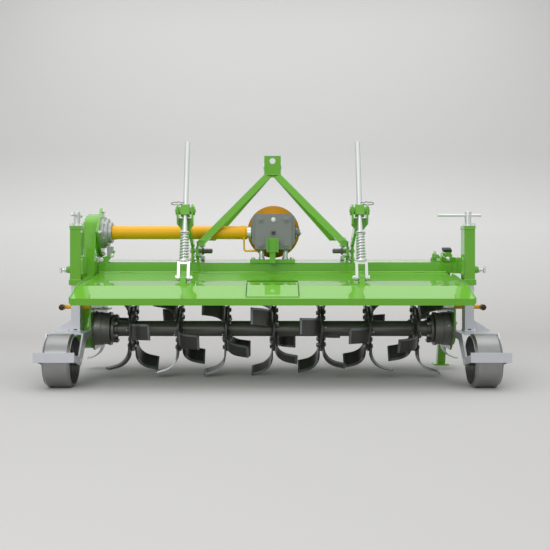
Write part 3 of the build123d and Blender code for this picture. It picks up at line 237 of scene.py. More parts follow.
def paint(name, colour, roughness, metallic=0.0, coat=0.0, gloss=0.5, grain=60.0, spread=0.06,
          bump=0.02, edge=1.2, worn=None, worn_amount=0.0, dust=None, dust_amount=0.0, streak=0.0):
    """Coated or bare metal. Colour and roughness vary in patches, edges are rounded (by edge, in
    millimetres) and may be worn to another colour, dust settles in patches, and streak draws the
    fine pattern out along X."""
    material = bpy.data.materials.new(name)
    material.use_nodes = True
    tree = material.node_tree
    link = tree.links.new
    shader = tree.nodes["Principled BSDF"]
    for socket, value in (("Metallic", metallic), ("Specular IOR Level", gloss),
                          ("Coat Weight", coat), ("Coat Roughness", COAT_ROUGHNESS)):
        shader.inputs[socket].default_value = value
    place = tree.nodes.new("ShaderNodeTexCoord").outputs["Object"]
    patches = add_node(tree, "ShaderNodeTexNoise", {"Scale": PATCH_SCALE, "Detail": PATCH_DETAIL})
    link(place, patches.inputs["Vector"])
    patch = patches.outputs["Fac"]
    fine = add_node(tree, "ShaderNodeTexNoise", {"Scale": grain, "Detail": FINE_DETAIL})
    speck = fine.outputs["Fac"]
    if streak:
        stretch = add_node(tree, "ShaderNodeMapping", {"Scale": (1 - streak, 1, 1)})
        link(place, stretch.inputs["Vector"])
        place = stretch.outputs["Vector"]
    link(place, fine.inputs["Vector"])

    def ramped(value, low, high, top=1.0):
        """Value that goes from nothing to top while another goes from low to high."""
        ramp = add_node(tree, "ShaderNodeMapRange",
                        {"From Min": low, "From Max": high, "To Max": top})
        link(value, ramp.inputs["Value"])
        return ramp.outputs[0]

    soft = add_node(tree, "ShaderNodeBevel", {"Radius": edge / 1000})
    soft.samples = BEVEL_SAMPLES
    out = mixed(tree, patch, shaded(colour, -spread), shaded(colour, spread))
    out = mixed(tree, ramped(speck, 0.35, 0.65), out,
                mixed(tree, patch, shaded(colour, spread * 0.7), shaded(colour, -spread * 0.5)))
    if dust:
        out = mixed(tree, ramped(speck, 0.45, 0.75, dust_amount), out, dust)
    if worn:
        shape = tree.nodes.new("ShaderNodeNewGeometry")
        turn = tree.nodes.new("ShaderNodeVectorMath")
        turn.operation = "DOT_PRODUCT"
        link(soft.outputs["Normal"], turn.inputs[0])
        link(shape.outputs["Normal"], turn.inputs[1])
        rubbed = tree.nodes.new("ShaderNodeMath")
        rubbed.operation = "MULTIPLY"
        link(ramped(turn.outputs["Value"], 0.995, 0.90, worn_amount), rubbed.inputs[0])
        link(ramped(speck, 0.30, 0.55), rubbed.inputs[1])
        out = mixed(tree, rubbed.outputs[0], out, worn)
    link(out, shader.inputs["Base Color"])
    rough = add_node(tree, "ShaderNodeMapRange", {"To Min": max(0.05, roughness - 0.08),
                                                  "To Max": min(1.0, roughness + 0.10)})
    link(patch, rough.inputs["Value"])
    link(rough.outputs[0], shader.inputs["Roughness"])
    relief = add_node(tree, "ShaderNodeBump", {"Strength": bump, "Distance": RELIEF_DEPTH})
    link(speck, relief.inputs["Height"])
    link(soft.outputs["Normal"], relief.inputs["Normal"])
    link(relief.outputs["Normal"], shader.inputs["Normal"])
    return material


GREEN = paint("green_paint", srgb(111, 186, 46), roughness=0.3, coat=1.0, gloss=0.1, spread=0.035,
              bump=0.003, worn=srgb(164, 222, 118), worn_amount=0.45)
GREY = paint("grey_paint", srgb(136, 140, 140), roughness=0.42, spread=0.07, bump=0.06,
             worn=srgb(172, 175, 176), worn_amount=0.5)
CAST = paint("cast_housing", srgb(178, 182, 180), roughness=0.40, metallic=0.35, spread=0.08,
             bump=0.06, worn=srgb(214, 216, 214), worn_amount=0.5)
ZINC = paint("zinc", srgb(226, 230, 229), roughness=0.30, metallic=0.70, grain=120.0)
WIRE = paint("wire_steel", srgb(104, 106, 106), roughness=0.34, metallic=0.75, spread=0.1)
SILVER = paint("silver_paint", srgb(210, 213, 219), roughness=0.36, metallic=0.5, spread=0.05,
               worn=srgb(232, 234, 236), worn_amount=0.7)
DARK = paint("dark_steel", srgb(124, 125, 120), roughness=0.36, metallic=0.35, spread=0.14,
             bump=0.04, worn=srgb(134, 134, 130), worn_amount=0.6, streak=0.6)
BLADE = paint("blade_steel", srgb(84, 84, 81), roughness=0.34, metallic=0.50, spread=0.14,
              bump=0.04, worn=srgb(190, 194, 194), worn_amount=0.9, edge=1.6,
              dust=srgb(98, 90, 80), dust_amount=0.2)
EDGE = paint("ground_edge", srgb(134, 140, 142), roughness=0.30, metallic=0.7, spread=0.12,
             bump=0.05, worn=srgb(208, 212, 212), worn_amount=0.8, streak=0.5)
WHEEL = paint("wheel_steel", srgb(152, 153, 153), roughness=0.30, metallic=0.8, spread=0.08,
              dust=srgb(116, 106, 96), dust_amount=0.2, streak=0.7)
GUARD = paint("yellow_plastic", srgb(205, 146, 4), roughness=0.5, gloss=0.2, spread=0.05)
YELLOW = paint("yellow_paint", srgb(254, 190, 14), roughness=0.36, gloss=0.35, spread=0.04,
               bump=0.01)
# Black plastic of caps and plugs; also the painted shade inside the wheel legs' slots.
BLACK = paint("black_plastic_and_slot_shade", srgb(28, 28, 29), roughness=0.45, spread=0.1, bump=0.03,
              worn=srgb(70, 70, 70), worn_amount=0.4)
# Painted shade: dark green that stands in for the shadow gap round the hood's centre plate.
SHADE_LINE = paint("green_shadow", srgb(40, 96, 16), roughness=0.6, spread=0.08, bump=0.03)

FINISH = {
    GREEN: ["side_plate", "deck", "rear_beam", "headstock", "hitch_plates", "hood", "hood_hinge",
            "rod_arms", "centre_bracket", "chain_case", "case_cap", "wheel_post", "parking_stand",
            "stand_sleeve", "gearbox_stand", "swivel_head", "hood_lugs"],
    GREY: ["gearbox", "gearbox_cover"],
    CAST: ["case_flanges"],
    ZINC: ["spring_rod", "jack_handles", "clamp_screws", "pto_shaft", "cross_shaft_coupling"],
    SILVER: ["wheel_leg", "wheel_fork", "wheel_scraper", "skids", "bearing_shields"],
    DARK: ["rotor_shaft", "bearing_drum", "lower_hitch_pins"],
    BLADE: ["blade_flanges"],
    WHEEL: ["wheel"],
    GUARD: ["pto_guard"],
    YELLOW: ["cross_shaft_guard", "rod_hook", "guard_bars"],
}


def finish_nodes():
    """Give each CAD node its finish; a name matches with or without its side."""
    for material, names in FINISH.items():
        for name in names:
            for full in (name, f"{name}_left", f"{name}_right"):
                if full in nodes:
                    data = nodes[full].data
                    data.materials.clear()
                    data.materials.append(material)


# ---------------------------------------------------------------- mesh tools
def frame_at(origin, axis, across=None):
    """Matrix whose Z runs along axis and whose X is nearest to across."""
    z = Vector(axis).normalized()
    if across is None:
        across = X if abs(z.x) < 0.9 else Y
    across = Vector(across)
    x = (across - z * z.dot(across)).normalized()
    m = Matrix((x, z.cross(x), z)).transposed().to_4x4()
    m.translation = Vector(origin)
    return m


def ring(centre, radius, count, start=0.0):
    """Angles and points of a circle about an axis along X."""
    x, y, z = centre
    angles = [start + 2 * math.pi * k / count for k in range(count)]
    return [(a, Vector((x, y + radius * math.cos(a), z + radius * math.sin(a)))) for a in angles]


class Piece:
    """A mesh that grows in the part's millimetres, then becomes an object that rides on a body."""

    WASHER_T, WASHER_RIM = 2.5, 0.5
    HEAD_H, NUT_H, WASHER_R = 0.62, 0.80, 1.15  # shares of a bolt's size
    BOLT_TURN = 0.4  # radians that a bolt's head is turned
    BEAD_STEP, BEAD_SIDES = 4.0, 6

    def __init__(self, name, body, material):
        self.name, self.body, self.material = name, body, material
        self.bm = bmesh.new()

    def join(self, low, high):
        """Faces between two loops with as many points, or between a loop and a single point."""
        faces = []
        count = max(len(low), len(high))
        for k in range(count):
            n = (k + 1) % count
            if len(low) == 1:
                corners = (low[0], high[n], high[k])
            elif len(high) == 1:
                corners = (low[k], low[n], high[0])
            else:
                corners = (low[k], low[n], high[n], high[k])
            faces.append(self.bm.faces.new(corners))
        return faces

    def ends(self, first, last):
        """Flat faces over the first and last loops."""
        return [self.bm.faces.new(list(reversed(first))), self.bm.faces.new(last)]

    def turned(self, origin, axis, profile, sides=20, phase=0.0):
        """Revolve (radius, height) pairs about an axis; heights run along it."""
        m = frame_at(origin, axis)
        angles = [phase + 2 * math.pi * k / sides for k in range(sides)]
        rings = []
        for radius, height in profile:
            points = [Vector((radius * math.cos(a), radius * math.sin(a), height)) for a in angles]
            if radius < 1e-6:
                points = points[:1]
            rings.append([self.bm.verts.new(m @ p) for p in points])
        for low, high in zip(rings, rings[1:]):
            self.join(low, high)

    def washer(self, origin, axis, radius, sides=20):
        """Flat washer with its upper edge broken."""
        thick, rim = self.WASHER_T, self.WASHER_RIM
        self.turned(origin, axis, [(0, 0), (radius, 0), (radius, thick - rim),
                                   (radius - rim, thick), (0, thick)], sides)

    def hexagon(self, origin, axis, size, height, phase=0.0):
        """Six-sided head or nut with its corners turned off."""
        corner = size * 0.98
        self.turned(origin, axis, [(0, 0), (corner * 0.95, 0), (corner, height * 0.10),
                                   (corner, height * 0.80), (corner * 0.84, height),
                                   (0, height)], 6, phase)

    def bolt(self, origin, axis, size, head=True):
        """Head on a washer, or a nut on a washer with the screw's end through it."""
        axis = Vector(axis).normalized()
        origin = Vector(origin)
        self.washer(origin, axis, size * self.WASHER_R)
        top = origin + axis * self.WASHER_T
        height = size * (self.HEAD_H if head else self.NUT_H)
        self.hexagon(top, axis, size, height, self.BOLT_TURN)
        if not head:
            r = size / 2
            self.turned(top + axis * height, axis, [(r, -1), (r, 3), (r - 1.2, 4.5), (0, 4.5)], 12)

    def dome(self, origin, axis, radius, height, sides=16):
        """Round head."""
        steps = [(radius * math.cos(a), height * math.sin(a)) for a in (0.0, 0.4, 0.8, 1.2)]
        self.turned(origin, axis, [(0, 0), *steps, (0, height)], sides)

    def tube(self, points, radius, sides=8, closed=False):
        """Round bar through points; radius is a number or one number a point."""
        points = [Vector(p) for p in points]
        count = len(points)
        radii = radius if isinstance(radius, list) else [radius] * count
        angles = [2 * math.pi * j / sides for j in range(sides)]
        rings, side = [], None
        for k, p in enumerate(points):
            ahead = points[(k + 1) % count] if closed or k + 1 < count else p
            behind = points[k - 1] if closed or k > 0 else p
            along = (ahead - behind).normalized()
            if side is None:
                side = along.orthogonal().normalized()
            side = (side - along * side.dot(along)).normalized()
            other = along.cross(side)
            spokes = [side * math.cos(a) + other * math.sin(a) for a in angles]
            rings.append([self.bm.verts.new(p + spoke * radii[k]) for spoke in spokes])
        for low, high in zip(rings, rings[1:]):
            self.join(low, high)
        if closed:
            self.join(rings[-1], rings[0])
        else:
            self.ends(rings[0], rings[-1])

    def weld(self, points, radius, closed=False):
        """Rippled bead along straight runs between points."""
        points = [Vector(p) for p in points]
        path = []
        for a, b in zip(points, points[1:] + (points[:1] if closed else [])):
            count = max(2, int((b - a).length / self.BEAD_STEP))
            path += [a + (b - a) * k / count for k in range(count)]
        if not closed:
            path.append(points[-1])
        radii = [radius * (1 + 0.16 * math.sin(2.1 * k) + 0.05 * math.sin(0.7 * k))
                 for k in range(len(path))]
        if not closed:
            radii[0] = radii[-1] = radius * 0.5
        self.tube(path, radii, self.BEAD_SIDES, closed)

    def block(self, low, high, bevel, turn=None):
        """Block between two corners with its edges broken; turn is a matrix applied to it."""
        low, high = Vector(low), Vector(high)
        made = bmesh.ops.create_cube(self.bm, size=1.0)["verts"]
        size, mid = high - low, (high + low) / 2
        for v in made:
            v.co = v.co * size + mid
        edges = list({e for v in made for e in v.link_edges})
        done = bmesh.ops.bevel(self.bm, geom=edges, offset=bevel, segments=2, affect="EDGES",
                               profile=0.5)
        made = list({v for f in done["faces"] for v in f.verts} | {v for v in made if v.is_valid})
        if turn is not None:
            for v in made:
                v.co = turn @ v.co

    def plate(self, origin, normal, across, outline, thickness, bevel=1.0):
        """Flat plate: an outline of (across, normal x across) pairs pushed along its normal."""
        m = frame_at(origin, normal, across)
        low = [self.bm.verts.new(m @ Vector((x, y, 0))) for x, y in outline]
        high = [self.bm.verts.new(m @ Vector((x, y, thickness))) for x, y in outline]
        faces = self.ends(low, high) + self.join(low, high)
        edges = list({e for f in faces for e in f.edges})
        bmesh.ops.bevel(self.bm, geom=edges, offset=bevel, segments=1, affect="EDGES")

    def skin(self, loops):
        """Closed body through loops that have the same number of points."""
        rings = [[self.bm.verts.new(p) for p in loop] for loop in loops]
        for low, high in zip(rings, rings[1:]):
            self.join(low, high)
        self.ends(rings[0], rings[-1])

    def done(self, replaces=(), flat_over=32.0):
        """Turn the mesh into an object in the shared frame, on its body, with edges sharp where
        its faces turn by more than flat_over degrees."""
        bmesh.ops.recalc_face_normals(self.bm, faces=self.bm.faces)
        to_frame = Matrix.Translation((0, ROTOR_Y, 0)) @ Matrix.Scale(0.001, 4)
        bmesh.ops.transform(self.bm, matrix=to_frame, verts=self.bm.verts)
        mesh = bpy.data.meshes.new(self.name)
        self.bm.to_mesh(mesh)
        self.bm.free()
        mesh.shade_smooth()
        mesh.set_sharp_from_angle(angle=math.radians(flat_over))
        mesh.materials.append(self.material)
        thing = bpy.data.objects.new(self.name, mesh)
        bpy.context.scene.collection.objects.link(thing)
        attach(thing, self.body)
        if replaces:
            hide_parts(*replaces)


# ---------------------------------------------------------------- spring rods
def rod_axis():
    """Direction of a spring rod, from its eye up through the swivel head."""
    return Vector((0, PIVOT[0] - EYE[0], PIVOT[1] - EYE[1])).normalized()


def spring(side, s):
    """Coil spring between its two seats, with flattened ends, on the sleeve inside it."""
    piece = Piece(f"coil_spring_{side}", f"rod_{side}", ZINC)
    low, high, wire, turns, per_turn = 93.5, 235.0, 4.2, 10.6, 20
    flat_turns, mean_low, taper = 0.7, 21.5, 3.0
    along, eye = rod_axis(), Vector((s * ROD_X, *EYE))
    third = along.cross(X)
    points = []
    for k in range(int(turns * per_turn) + 1):
        t = k / per_turn
        climb = min(max((t - flat_turns) / (turns - 2 * flat_turns), 0), 1)
        end = min(t, flat_turns) / flat_turns - 1 + max(t - turns + flat_turns, 0) / flat_turns
        height = low + (high - low) * climb + wire * 0.25 * end
        a = 2 * math.pi * t
        mean = mean_low - taper * t / turns
        points.append(eye + along * height + (X * math.cos(a) + third * math.sin(a)) * mean)
    piece.tube(points, wire, 10)
    bore, sleeve, length = 13.0, 15.2, high - low
    piece.turned(eye + along * low, along,
                 [(bore, 0), (sleeve, 0), (sleeve, length), (bore, length)], 24)
    piece.done(replaces=(f"spring_{side}",), flat_over=60)


def rod_fittings(side, s):
    """Clevis bolt, spring clip above the stop washer, and the seats' rolled rims."""
    along, eye = rod_axis(), Vector((s * ROD_X, *EYE))
    clevis_half = 32
    piece = Piece(f"clevis_bolt_{side}", f"rod_{side}", ZINC)
    for out in (-1, 1):
        piece.bolt(eye + X * out * clevis_half, (out, 0, 0), 12.5, head=out == s)
    piece.done()
    clip = Piece(f"spring_clip_{side}", f"rod_{side}", WIRE)
    back = along.cross(X)

    def at(out, rise, behind=0):
        """Place beside the clip's hole through the rod."""
        return eye + X * s * out + along * (399 + rise) - back * behind

    loop, loop_wide, loop_high = 56, 19, 7
    path = [at(out, rise) for out, rise in ((-20, -1), (0, 0), (26, 0), (38, -3))]
    for k in range(11):
        a = -1.6 + k * 0.38
        path.append(at(loop + loop_wide * math.cos(a), 3 + loop_high * math.sin(a), 2))
    path += [at(out, rise, 15) for out, rise in ((36, 9), (22, 2), (8, 5))]
    clip.tube(path, 2.0, 8)
    clip.done()
    seats = Piece(f"spring_seats_{side}", f"rod_{side}", ZINC)
    bore, bulge = 14.2, 0.8
    for height, radius in ((84, 30.0), (238.5, 26.5)):
        seats.turned(eye + along * height, along,
                     [(bore, -0.6), (radius, -0.6), (radius + bulge, 1), (radius + bulge, 4.2),
                      (radius, 6.0), (bore, 6.0)], 28)
    seats.done()


def pivot_fittings(side, s):
    """Bushes and round caps on the swivel's cheeks, and the arm's bolts and welds."""
    piece = Piece(f"trunnion_screws_{side}", "frame", GREEN)
    for out in (-1, 1):
        for reach, profile in ((24.6, [(12, 0), (19, 0), (19, 9), (12, 9)]),
                               (43, [(0, 0), (23, 0), (23, 5), (21, 7), (0, 7)])):
            piece.turned((s * ROD_X + out * reach, *PIVOT), (out, 0, 0), profile, 28)
        piece.dome((s * ROD_X + out * 50, *PIVOT), (out, 0, 0), 12, 4)
    arm_x, arm_half, bead_out = s * (ROD_X - ARM_SET), 7, 8.5
    for x in (arm_x - bead_out, arm_x + bead_out):
        piece.weld([(x, 113, BEAD_Z), (x, 165, BEAD_Z)], 3.4)
    piece.done()
    bolts = Piece(f"arm_bolts_{side}", "frame", ZINC)
    for y, z in ((128, 622), (140, 668)):
        bolts.bolt((arm_x - s * arm_half, y, z), (-s, 0, 0), 11, head=False)
        bolts.bolt((arm_x + s * arm_half, y, z), (s, 0, 0), 11)
    bolts.done()


# ---------------------------------------------------------------- rotor
def flange_xs():
    """Middle of each flange."""
    return [FLANGE_SHIFT + FLANGE_PITCH * (i - (FLANGES - 1) / 2) for i in range(FLANGES)]


def blades():
    """Flange's middle, hand and angle of each blade."""
    step = 360 / BLADES_PER_SIDE
    for i, x in enumerate(flange_xs()):
        for hand in (1, -1):
            for k in range(BLADES_PER_SIDE):
                turn = PHASE_START + PHASE_STEP * i + step * k + (step / 2 if hand < 0 else 0)
                yield x, hand, math.radians(turn)


def blade_bolts():
    """Two bolts through each blade and its flange, and the beads round the flanges."""
    head_h, nut_h, size = 9, 11, 12.5
    heads = Piece("blade_bolt_heads", "rotor", DARK)
    ends = Piece("blade_bolt_ends", "rotor", ZINC)
    for x, hand, a in blades():
        near_way, far_way = Vector((hand, 0, 0)), Vector((-hand, 0, 0))
        for r in (62.0, 99.0):
            centre = Vector((x, -math.sin(a) * r, AXIS_Z + math.cos(a) * r))
            near = centre + near_way * (FLANGE_T / 2 + BLADE_T)
            far = centre + far_way * (FLANGE_T / 2)
            heads.hexagon(near, near_way, size, head_h, a)
            ends.dome(near + near_way * head_h, near_way, 6.5, 2.2, 12)
            heads.washer(far, far_way, 14, 16)
            heads.hexagon(far + far_way * Piece.WASHER_T, far_way, size, nut_h, a + 0.3)
            ends.turned(far + far_way * 13, far_way, [(6.5, 0), (6.5, 4), (5.2, 5.5), (0, 5.5)], 12)
    heads.done()
    ends.done()
    welds = Piece("flange_welds", "rotor", DARK)
    for x in flange_xs():
        for out in (-6.0, 6.0):
            points = ring((x + out, 0, AXIS_Z), 43.0, 48)
            welds.weld([at for _, at in points], 3.6, closed=True)
    welds.done()


def blade_edges():
    """Ground strip that wraps each blade's cutting edge and its wing's end."""
    turn, twist = math.radians(BEND_TURN), math.radians(WING_TWIST)
    wing_r = math.sqrt(TIP_R ** 2 - WING_HALF ** 2) - WING_HALF * math.tan(twist)
    run = (BLADE_REACH - BEND_R * (1 - math.cos(turn))) / math.sin(turn)
    bend_from = wing_r - BEND_R * math.sin(turn) - run * math.cos(turn)
    proud, strip, reach, bend_steps = 0.3, 10.0, WING_HALF / math.cos(twist), 12

    def station(angle, further):
        """Outside and inside points of the bent bar at an angle, and so far past the bend."""
        pair = []
        for radius in (BEND_R + proud, BEND_R - BLADE_T - proud):
            pair.append((BEND_R - radius * math.cos(angle) + further * math.sin(angle),
                         bend_from + radius * math.sin(angle) + further * math.cos(angle)))
        return pair

    def placed(point, t, blade):
        """Point of the bar's profile at t along the wing's width, on a blade."""
        x, hand, phase = blade
        y, z = t * math.cos(twist), point[1] + t * math.sin(twist)
        return Vector((x + hand * (FLANGE_T / 2 + point[0]),
                       y * math.cos(phase) - z * math.sin(phase),
                       AXIS_Z + y * math.sin(phase) + z * math.cos(phase)))

    along_edge = [station(turn * k / bend_steps, 0.0) for k in range(3, bend_steps + 1)]
    along_edge.append(station(turn, run + proud))
    near, far = station(turn, run - strip), station(turn, run + proud)
    piece = Piece("blade_edges", "rotor", EDGE)
    for blade in blades():
        piece.skin([[placed(a, reach - strip, blade), placed(a, reach + proud, blade),
                     placed(b, reach + proud, blade), placed(b, reach - strip, blade)]
                    for a, b in along_edge])
        piece.skin([[placed(p, t, blade) for p in (near[0], far[0], far[1], near[1])]
                    for t in (-reach - proud, 0.0, reach + proud)])
    piece.done()


def rotor_ends():
    """Bolts round the rotor's end flanges, and the drums' grease nipples, bands and screws."""
    flange_x, head_h = 837, 12
    bolts = Piece("end_flange_bolts", "rotor", DARK)
    tips = Piece("end_flange_bolt_ends", "rotor", ZINC)
    for s in (-1, 1):
        way = Vector((-s, 0, 0))
        for a, at in ring((s * flange_x, 0, AXIS_Z), 62, 6, math.pi / 6):
            top = at + way * Piece.WASHER_T
            bolts.washer(at, way, 14.5)
            bolts.hexagon(top, way, 13.5, head_h, a)
            tips.turned(top + way * head_h, way, [(7, 0), (7, 4), (5.5, 5.5), (0, 5.5)], 12)
    bolts.done()
    tips.done()
    band_in, band_out, band_half = 83.5, 88.6, 1.5
    for side, s in SIDES:
        nipple = Piece(f"drum_fittings_{side}", "frame", ZINC)
        at, out = Vector((s * 925, -84, AXIS_Z + 22)), Vector((0, -1, 0.26)).normalized()
        nipple.hexagon(at, out, 6, 5)
        nipple.turned(at + out * 5, out,
                      [(2.4, 0), (2.4, 3), (3.6, 4.5), (3.6, 6.5), (1.6, 9), (0, 9)], 12)
        nipple.done()
        band = Piece(f"drum_bands_{side}", "frame", DARK)
        for x in (902.5, 868.0):
            band.turned((s * x, 0, AXIS_Z), (s, 0, 0),
                        [(band_in, -band_half), (band_out, -band_half), (band_out, band_half),
                         (band_in, band_half)], 48)
        for a, at in ring((s * 948, 0, AXIS_Z), 94, 8, math.pi / 8):
            band.hexagon(at, (-s, 0, 0), 8, 8, a)
        band.done()


# ---------------------------------------------------------------- gearbox and drive
def gearbox_parts():
    """Gearbox's bosses, ribs, plugs and bolts, and the sleeves and nuts of its columns."""
    corners = [(BOX_X + x, BOX_Z + z) for x in (-69, 69) for z in (-70, 70)]
    boss_h, cover_half, cover_rear = 3.2, 99.0, 86.0
    rib_in, rib_out, rib_rear, rib_front, rib_half = 116, 122, 110, 262, 3
    grey = Piece("gearbox_bosses", "frame", GREY)
    for x, z in corners:
        grey.turned((x, COVER_Y, z), (0, -1, 0), [(19, -1), (19, 2.2), (17.5, 3.2), (0, 3.2)], 24)
    grey.weld([(BOX_X - cover_half, cover_rear, BOX_Z - 96),
               (BOX_X - cover_half, cover_rear, BOX_Z + 100)], 1.6)
    for z in (BOX_Z - 40, BOX_Z, BOX_Z + 40):
        for low, high in ((-rib_out, -rib_in), (rib_in, rib_out)):
            grey.block((BOX_X + low, rib_rear, z - rib_half),
                       (BOX_X + high, rib_front, z + rib_half), 1.2)
    grey.done()
    screws = Piece("gearbox_cover_bolts", "frame", GREY)
    for x, z in corners:
        screws.bolt((x, COVER_Y - boss_h, z), (0, -1, 0), 8.5)
    screws.done()
    bolts = Piece("gearbox_bolts", "frame", ZINC)
    bolts.bolt((BOX_X, COVER_Y, BOX_Z + 69), (0, -1, 0), 11)
    for s in (-1, 1):
        for a, at in ring((BOX_X + s * 124, DRIVE_Y, DRIVE_Z), 27, 4, math.pi / 4):
            bolts.hexagon(at, (s, 0, 0), 5.5, 5, a)
    bolts.hexagon((151, DRIVE_Y, DRIVE_Z), X, 13, 8)
    base_top = DECK_TOP + 20
    for x in (-108, 108):
        for y in (122, 264):
            bolts.bolt((x, y, base_top), Z, 11)
    for x in (BOX_X - 65, BOX_X + 65):
        for y in (124, 256):
            bolts.turned((x, y, base_top + 0.5), Z,
                         [(13.4, 0), (13.6, 0.5), (13.6, 49.5), (13.4, 50)], 24)
            bolts.hexagon((x, y, base_top), Z, 17.5, 9)
    bolts.done()
    plug = Piece("gearbox_plugs", "frame", BLACK)
    plug.turned((BOX_X, COVER_Y, BOX_Z), (0, -1, 0), [(14, 0), (14, 3), (12.5, 4), (0, 4)], 24)
    plug.hexagon((BOX_X, COVER_Y - 4, BOX_Z), (0, -1, 0), 8.5, 5)
    plug.done()
    front = Piece("gearbox_front_bolts", "frame", ZINC)
    for k in range(6):
        a = math.pi / 6 + k * math.pi / 3
        at = (BOX_X + 50 * math.cos(a), 304, DRIVE_Z + 50 * math.sin(a))
        front.hexagon(at, Y, 7, 6, a)
    front.done()


def ear_outline(disc, reach, ear):
    """Outline of a disc with four ears, drawn tight round them all."""
    points = {(disc * math.cos(a), disc * math.sin(a))
              for a in (math.radians(6 * k) for k in range(60))}
    for x, y in ((reach, 0), (0, reach), (-reach, 0), (0, -reach)):
        points |= {(x + ear * math.cos(a), y + ear * math.sin(a))
                   for a in (math.radians(15 * k) for k in range(24))}
    hull = []
    for order in (sorted(points), sorted(points, reverse=True)):
        chain = []
        for p in order:
            while len(chain) > 1:
                (x0, y0), (x1, y1) = chain[-2:]
                if (x1 - x0) * (p[1] - y0) - (y1 - y0) * (p[0] - x0) > 1e-9:
                    break
                chain.pop()
            chain.append(p)
        hull += chain[:-1]
    return hull


def drive_guard():
    """Collars on the cross shaft's guard, and the flange plate and screws at its outer end."""
    collar = Piece("guard_collars", "frame", YELLOW)
    for x in (-160, -872):
        collar.turned((x, DRIVE_Y, DRIVE_Z), X,
                      [(36.4, -12), (38.6, -11), (38.6, 11), (36.4, 12)], 40)
    collar.done()
    plate = Piece("case_flange_plate", "frame", GREEN)
    plate.plate((-952, DRIVE_Y, DRIVE_Z), X, Y, ear_outline(107, EAR_AT, 17.5), 11.5)
    plate.done()
    stack = Piece("stack_screws", "frame", ZINC)
    for a, at in ring((-923, DRIVE_Y, DRIVE_Z), 80.5, 6, 0.4):
        stack.hexagon(at, X, 5.0, 5, a)
    stack.done()


def case_fittings():
    """Ear bolts, cover screws, plugs and hub cap on the chain case."""
    cover_x, top_r, low_r, edge_r = -1027, 84, 87, 86
    bolts = Piece("chain_case_bolts", "frame", ZINC)
    for _, at in ring((-941, DRIVE_Y, DRIVE_Z), EAR_AT, 4, math.pi / 2):
        bolts.bolt(at, X, 11, head=False)
    top, low = Vector((cover_x, DRIVE_Y, DRIVE_Z)), Vector((cover_x, 0, AXIS_Z))
    along = (top - low).normalized()
    side = Vector((0, along.z, -along.y))
    spots = []
    for k in range(5):
        a = math.pi * k / 4
        spots.append(top + (side * math.cos(a) + along * math.sin(a)) * top_r)
        spots.append(low + (side * math.cos(a) - along * math.sin(a)) * low_r)
    for k in range(1, 4):
        for s in (-1, 1):
            spots.append(low + (top - low) * k / 4 + side * s * edge_r)
    for spot in spots:
        bolts.bolt(spot, (-1, 0, 0), 8.5)
    bolts.bolt((cover_x - 18, DRIVE_Y, DRIVE_Z), (-1, 0, 0), 16)
    bolts.done()
    cap = Piece("chain_case_hub", "frame", GREEN)
    cap.turned(low, (-1, 0, 0),
               [(0, 0), (58, 0), (58, 9), (54, 13), (30, 13), (26, 16), (0, 16)], 40)
    cap.turned((cover_x, 60, 470), (-1, 0, 0),
               [(0, 0), (17, 0), (17, 4), (11, 5), (11, 12), (0, 12)], 20)
    cap.done()


def case_stay():
    """Bent stay that rises from the deck's corner under the bearing housings, with its bolts."""
    y, thick = 126, 9
    stay = Piece("case_stay", "frame", GREEN)
    outline = [(-950, 600), (-950, 624), (-940, 632), (-915, 634), (-894, 646), (-872, 668),
               (-860, 666), (-868, 650), (-884, 630), (-900, 612), (-900, 600)]
    stay.plate((0, y, 0), (0, -1, 0), X, outline, thick, 1.2)
    stay.block((-926, y, DECK_TOP), (-900, y + 42, DECK_TOP + thick), 1.5)
    stay.weld([(-948, y - 10, BEAD_Z), (-902, y - 10, BEAD_Z)], 3.0)
    stay.done()
    bolts = Piece("case_stay_bolts", "frame", ZINC)
    bolts.bolt((-938, y - thick, 617), (0, -1, 0), 12)
    bolts.bolt((-884, y, 642), Y, 12)
    bolts.bolt((-878, y - thick, 640), (0, -1, 0), 10, head=False)
    bolts.done()
    foot = Piece("case_stay_lug", "frame", CAST)
    foot.plate((-912, 150, 0), X, Y, [(0, 640), (50, 640), (62, 690), (-2, 690)], 26, 3.0)
    foot.done()


def stand_clip():
    """Bent lever and bolts beside the stand's sleeve."""
    x, y = 905, 178
    lug = Piece("stand_clip", "frame", GREEN)
    lug.plate((x, y, DECK_TOP), (0, -1, 0), X,
              [(-30, 0), (-30, 22), (-12, 46), (14, 46), (30, 16), (30, 0)], 9)
    lug.plate((x + 18, y - 34, DECK_TOP), X, Y,
              [(0, 0), (0, 30), (20, 38), (60, 30), (60, 0)], 8)
    lug.weld([(x - 30, y - 2, BEAD_Z), (x + 30, y - 2, BEAD_Z)], 3.0)
    lug.tube([(x - 4, y - 16, 622), (x - 16, y - 24, 630), (x - 22, y - 26, 644),
              (x - 14, y - 26, 652)], 4.5)
    lug.done()
    bolts = Piece("stand_clip_bolts", "frame", ZINC)
    bolts.bolt((x + 12, y, 618), (0, -1, 0), 11)
    bolts.bolt((x - 14, y, 632), (0, -1, 0), 9, head=False)
    bolts.done()


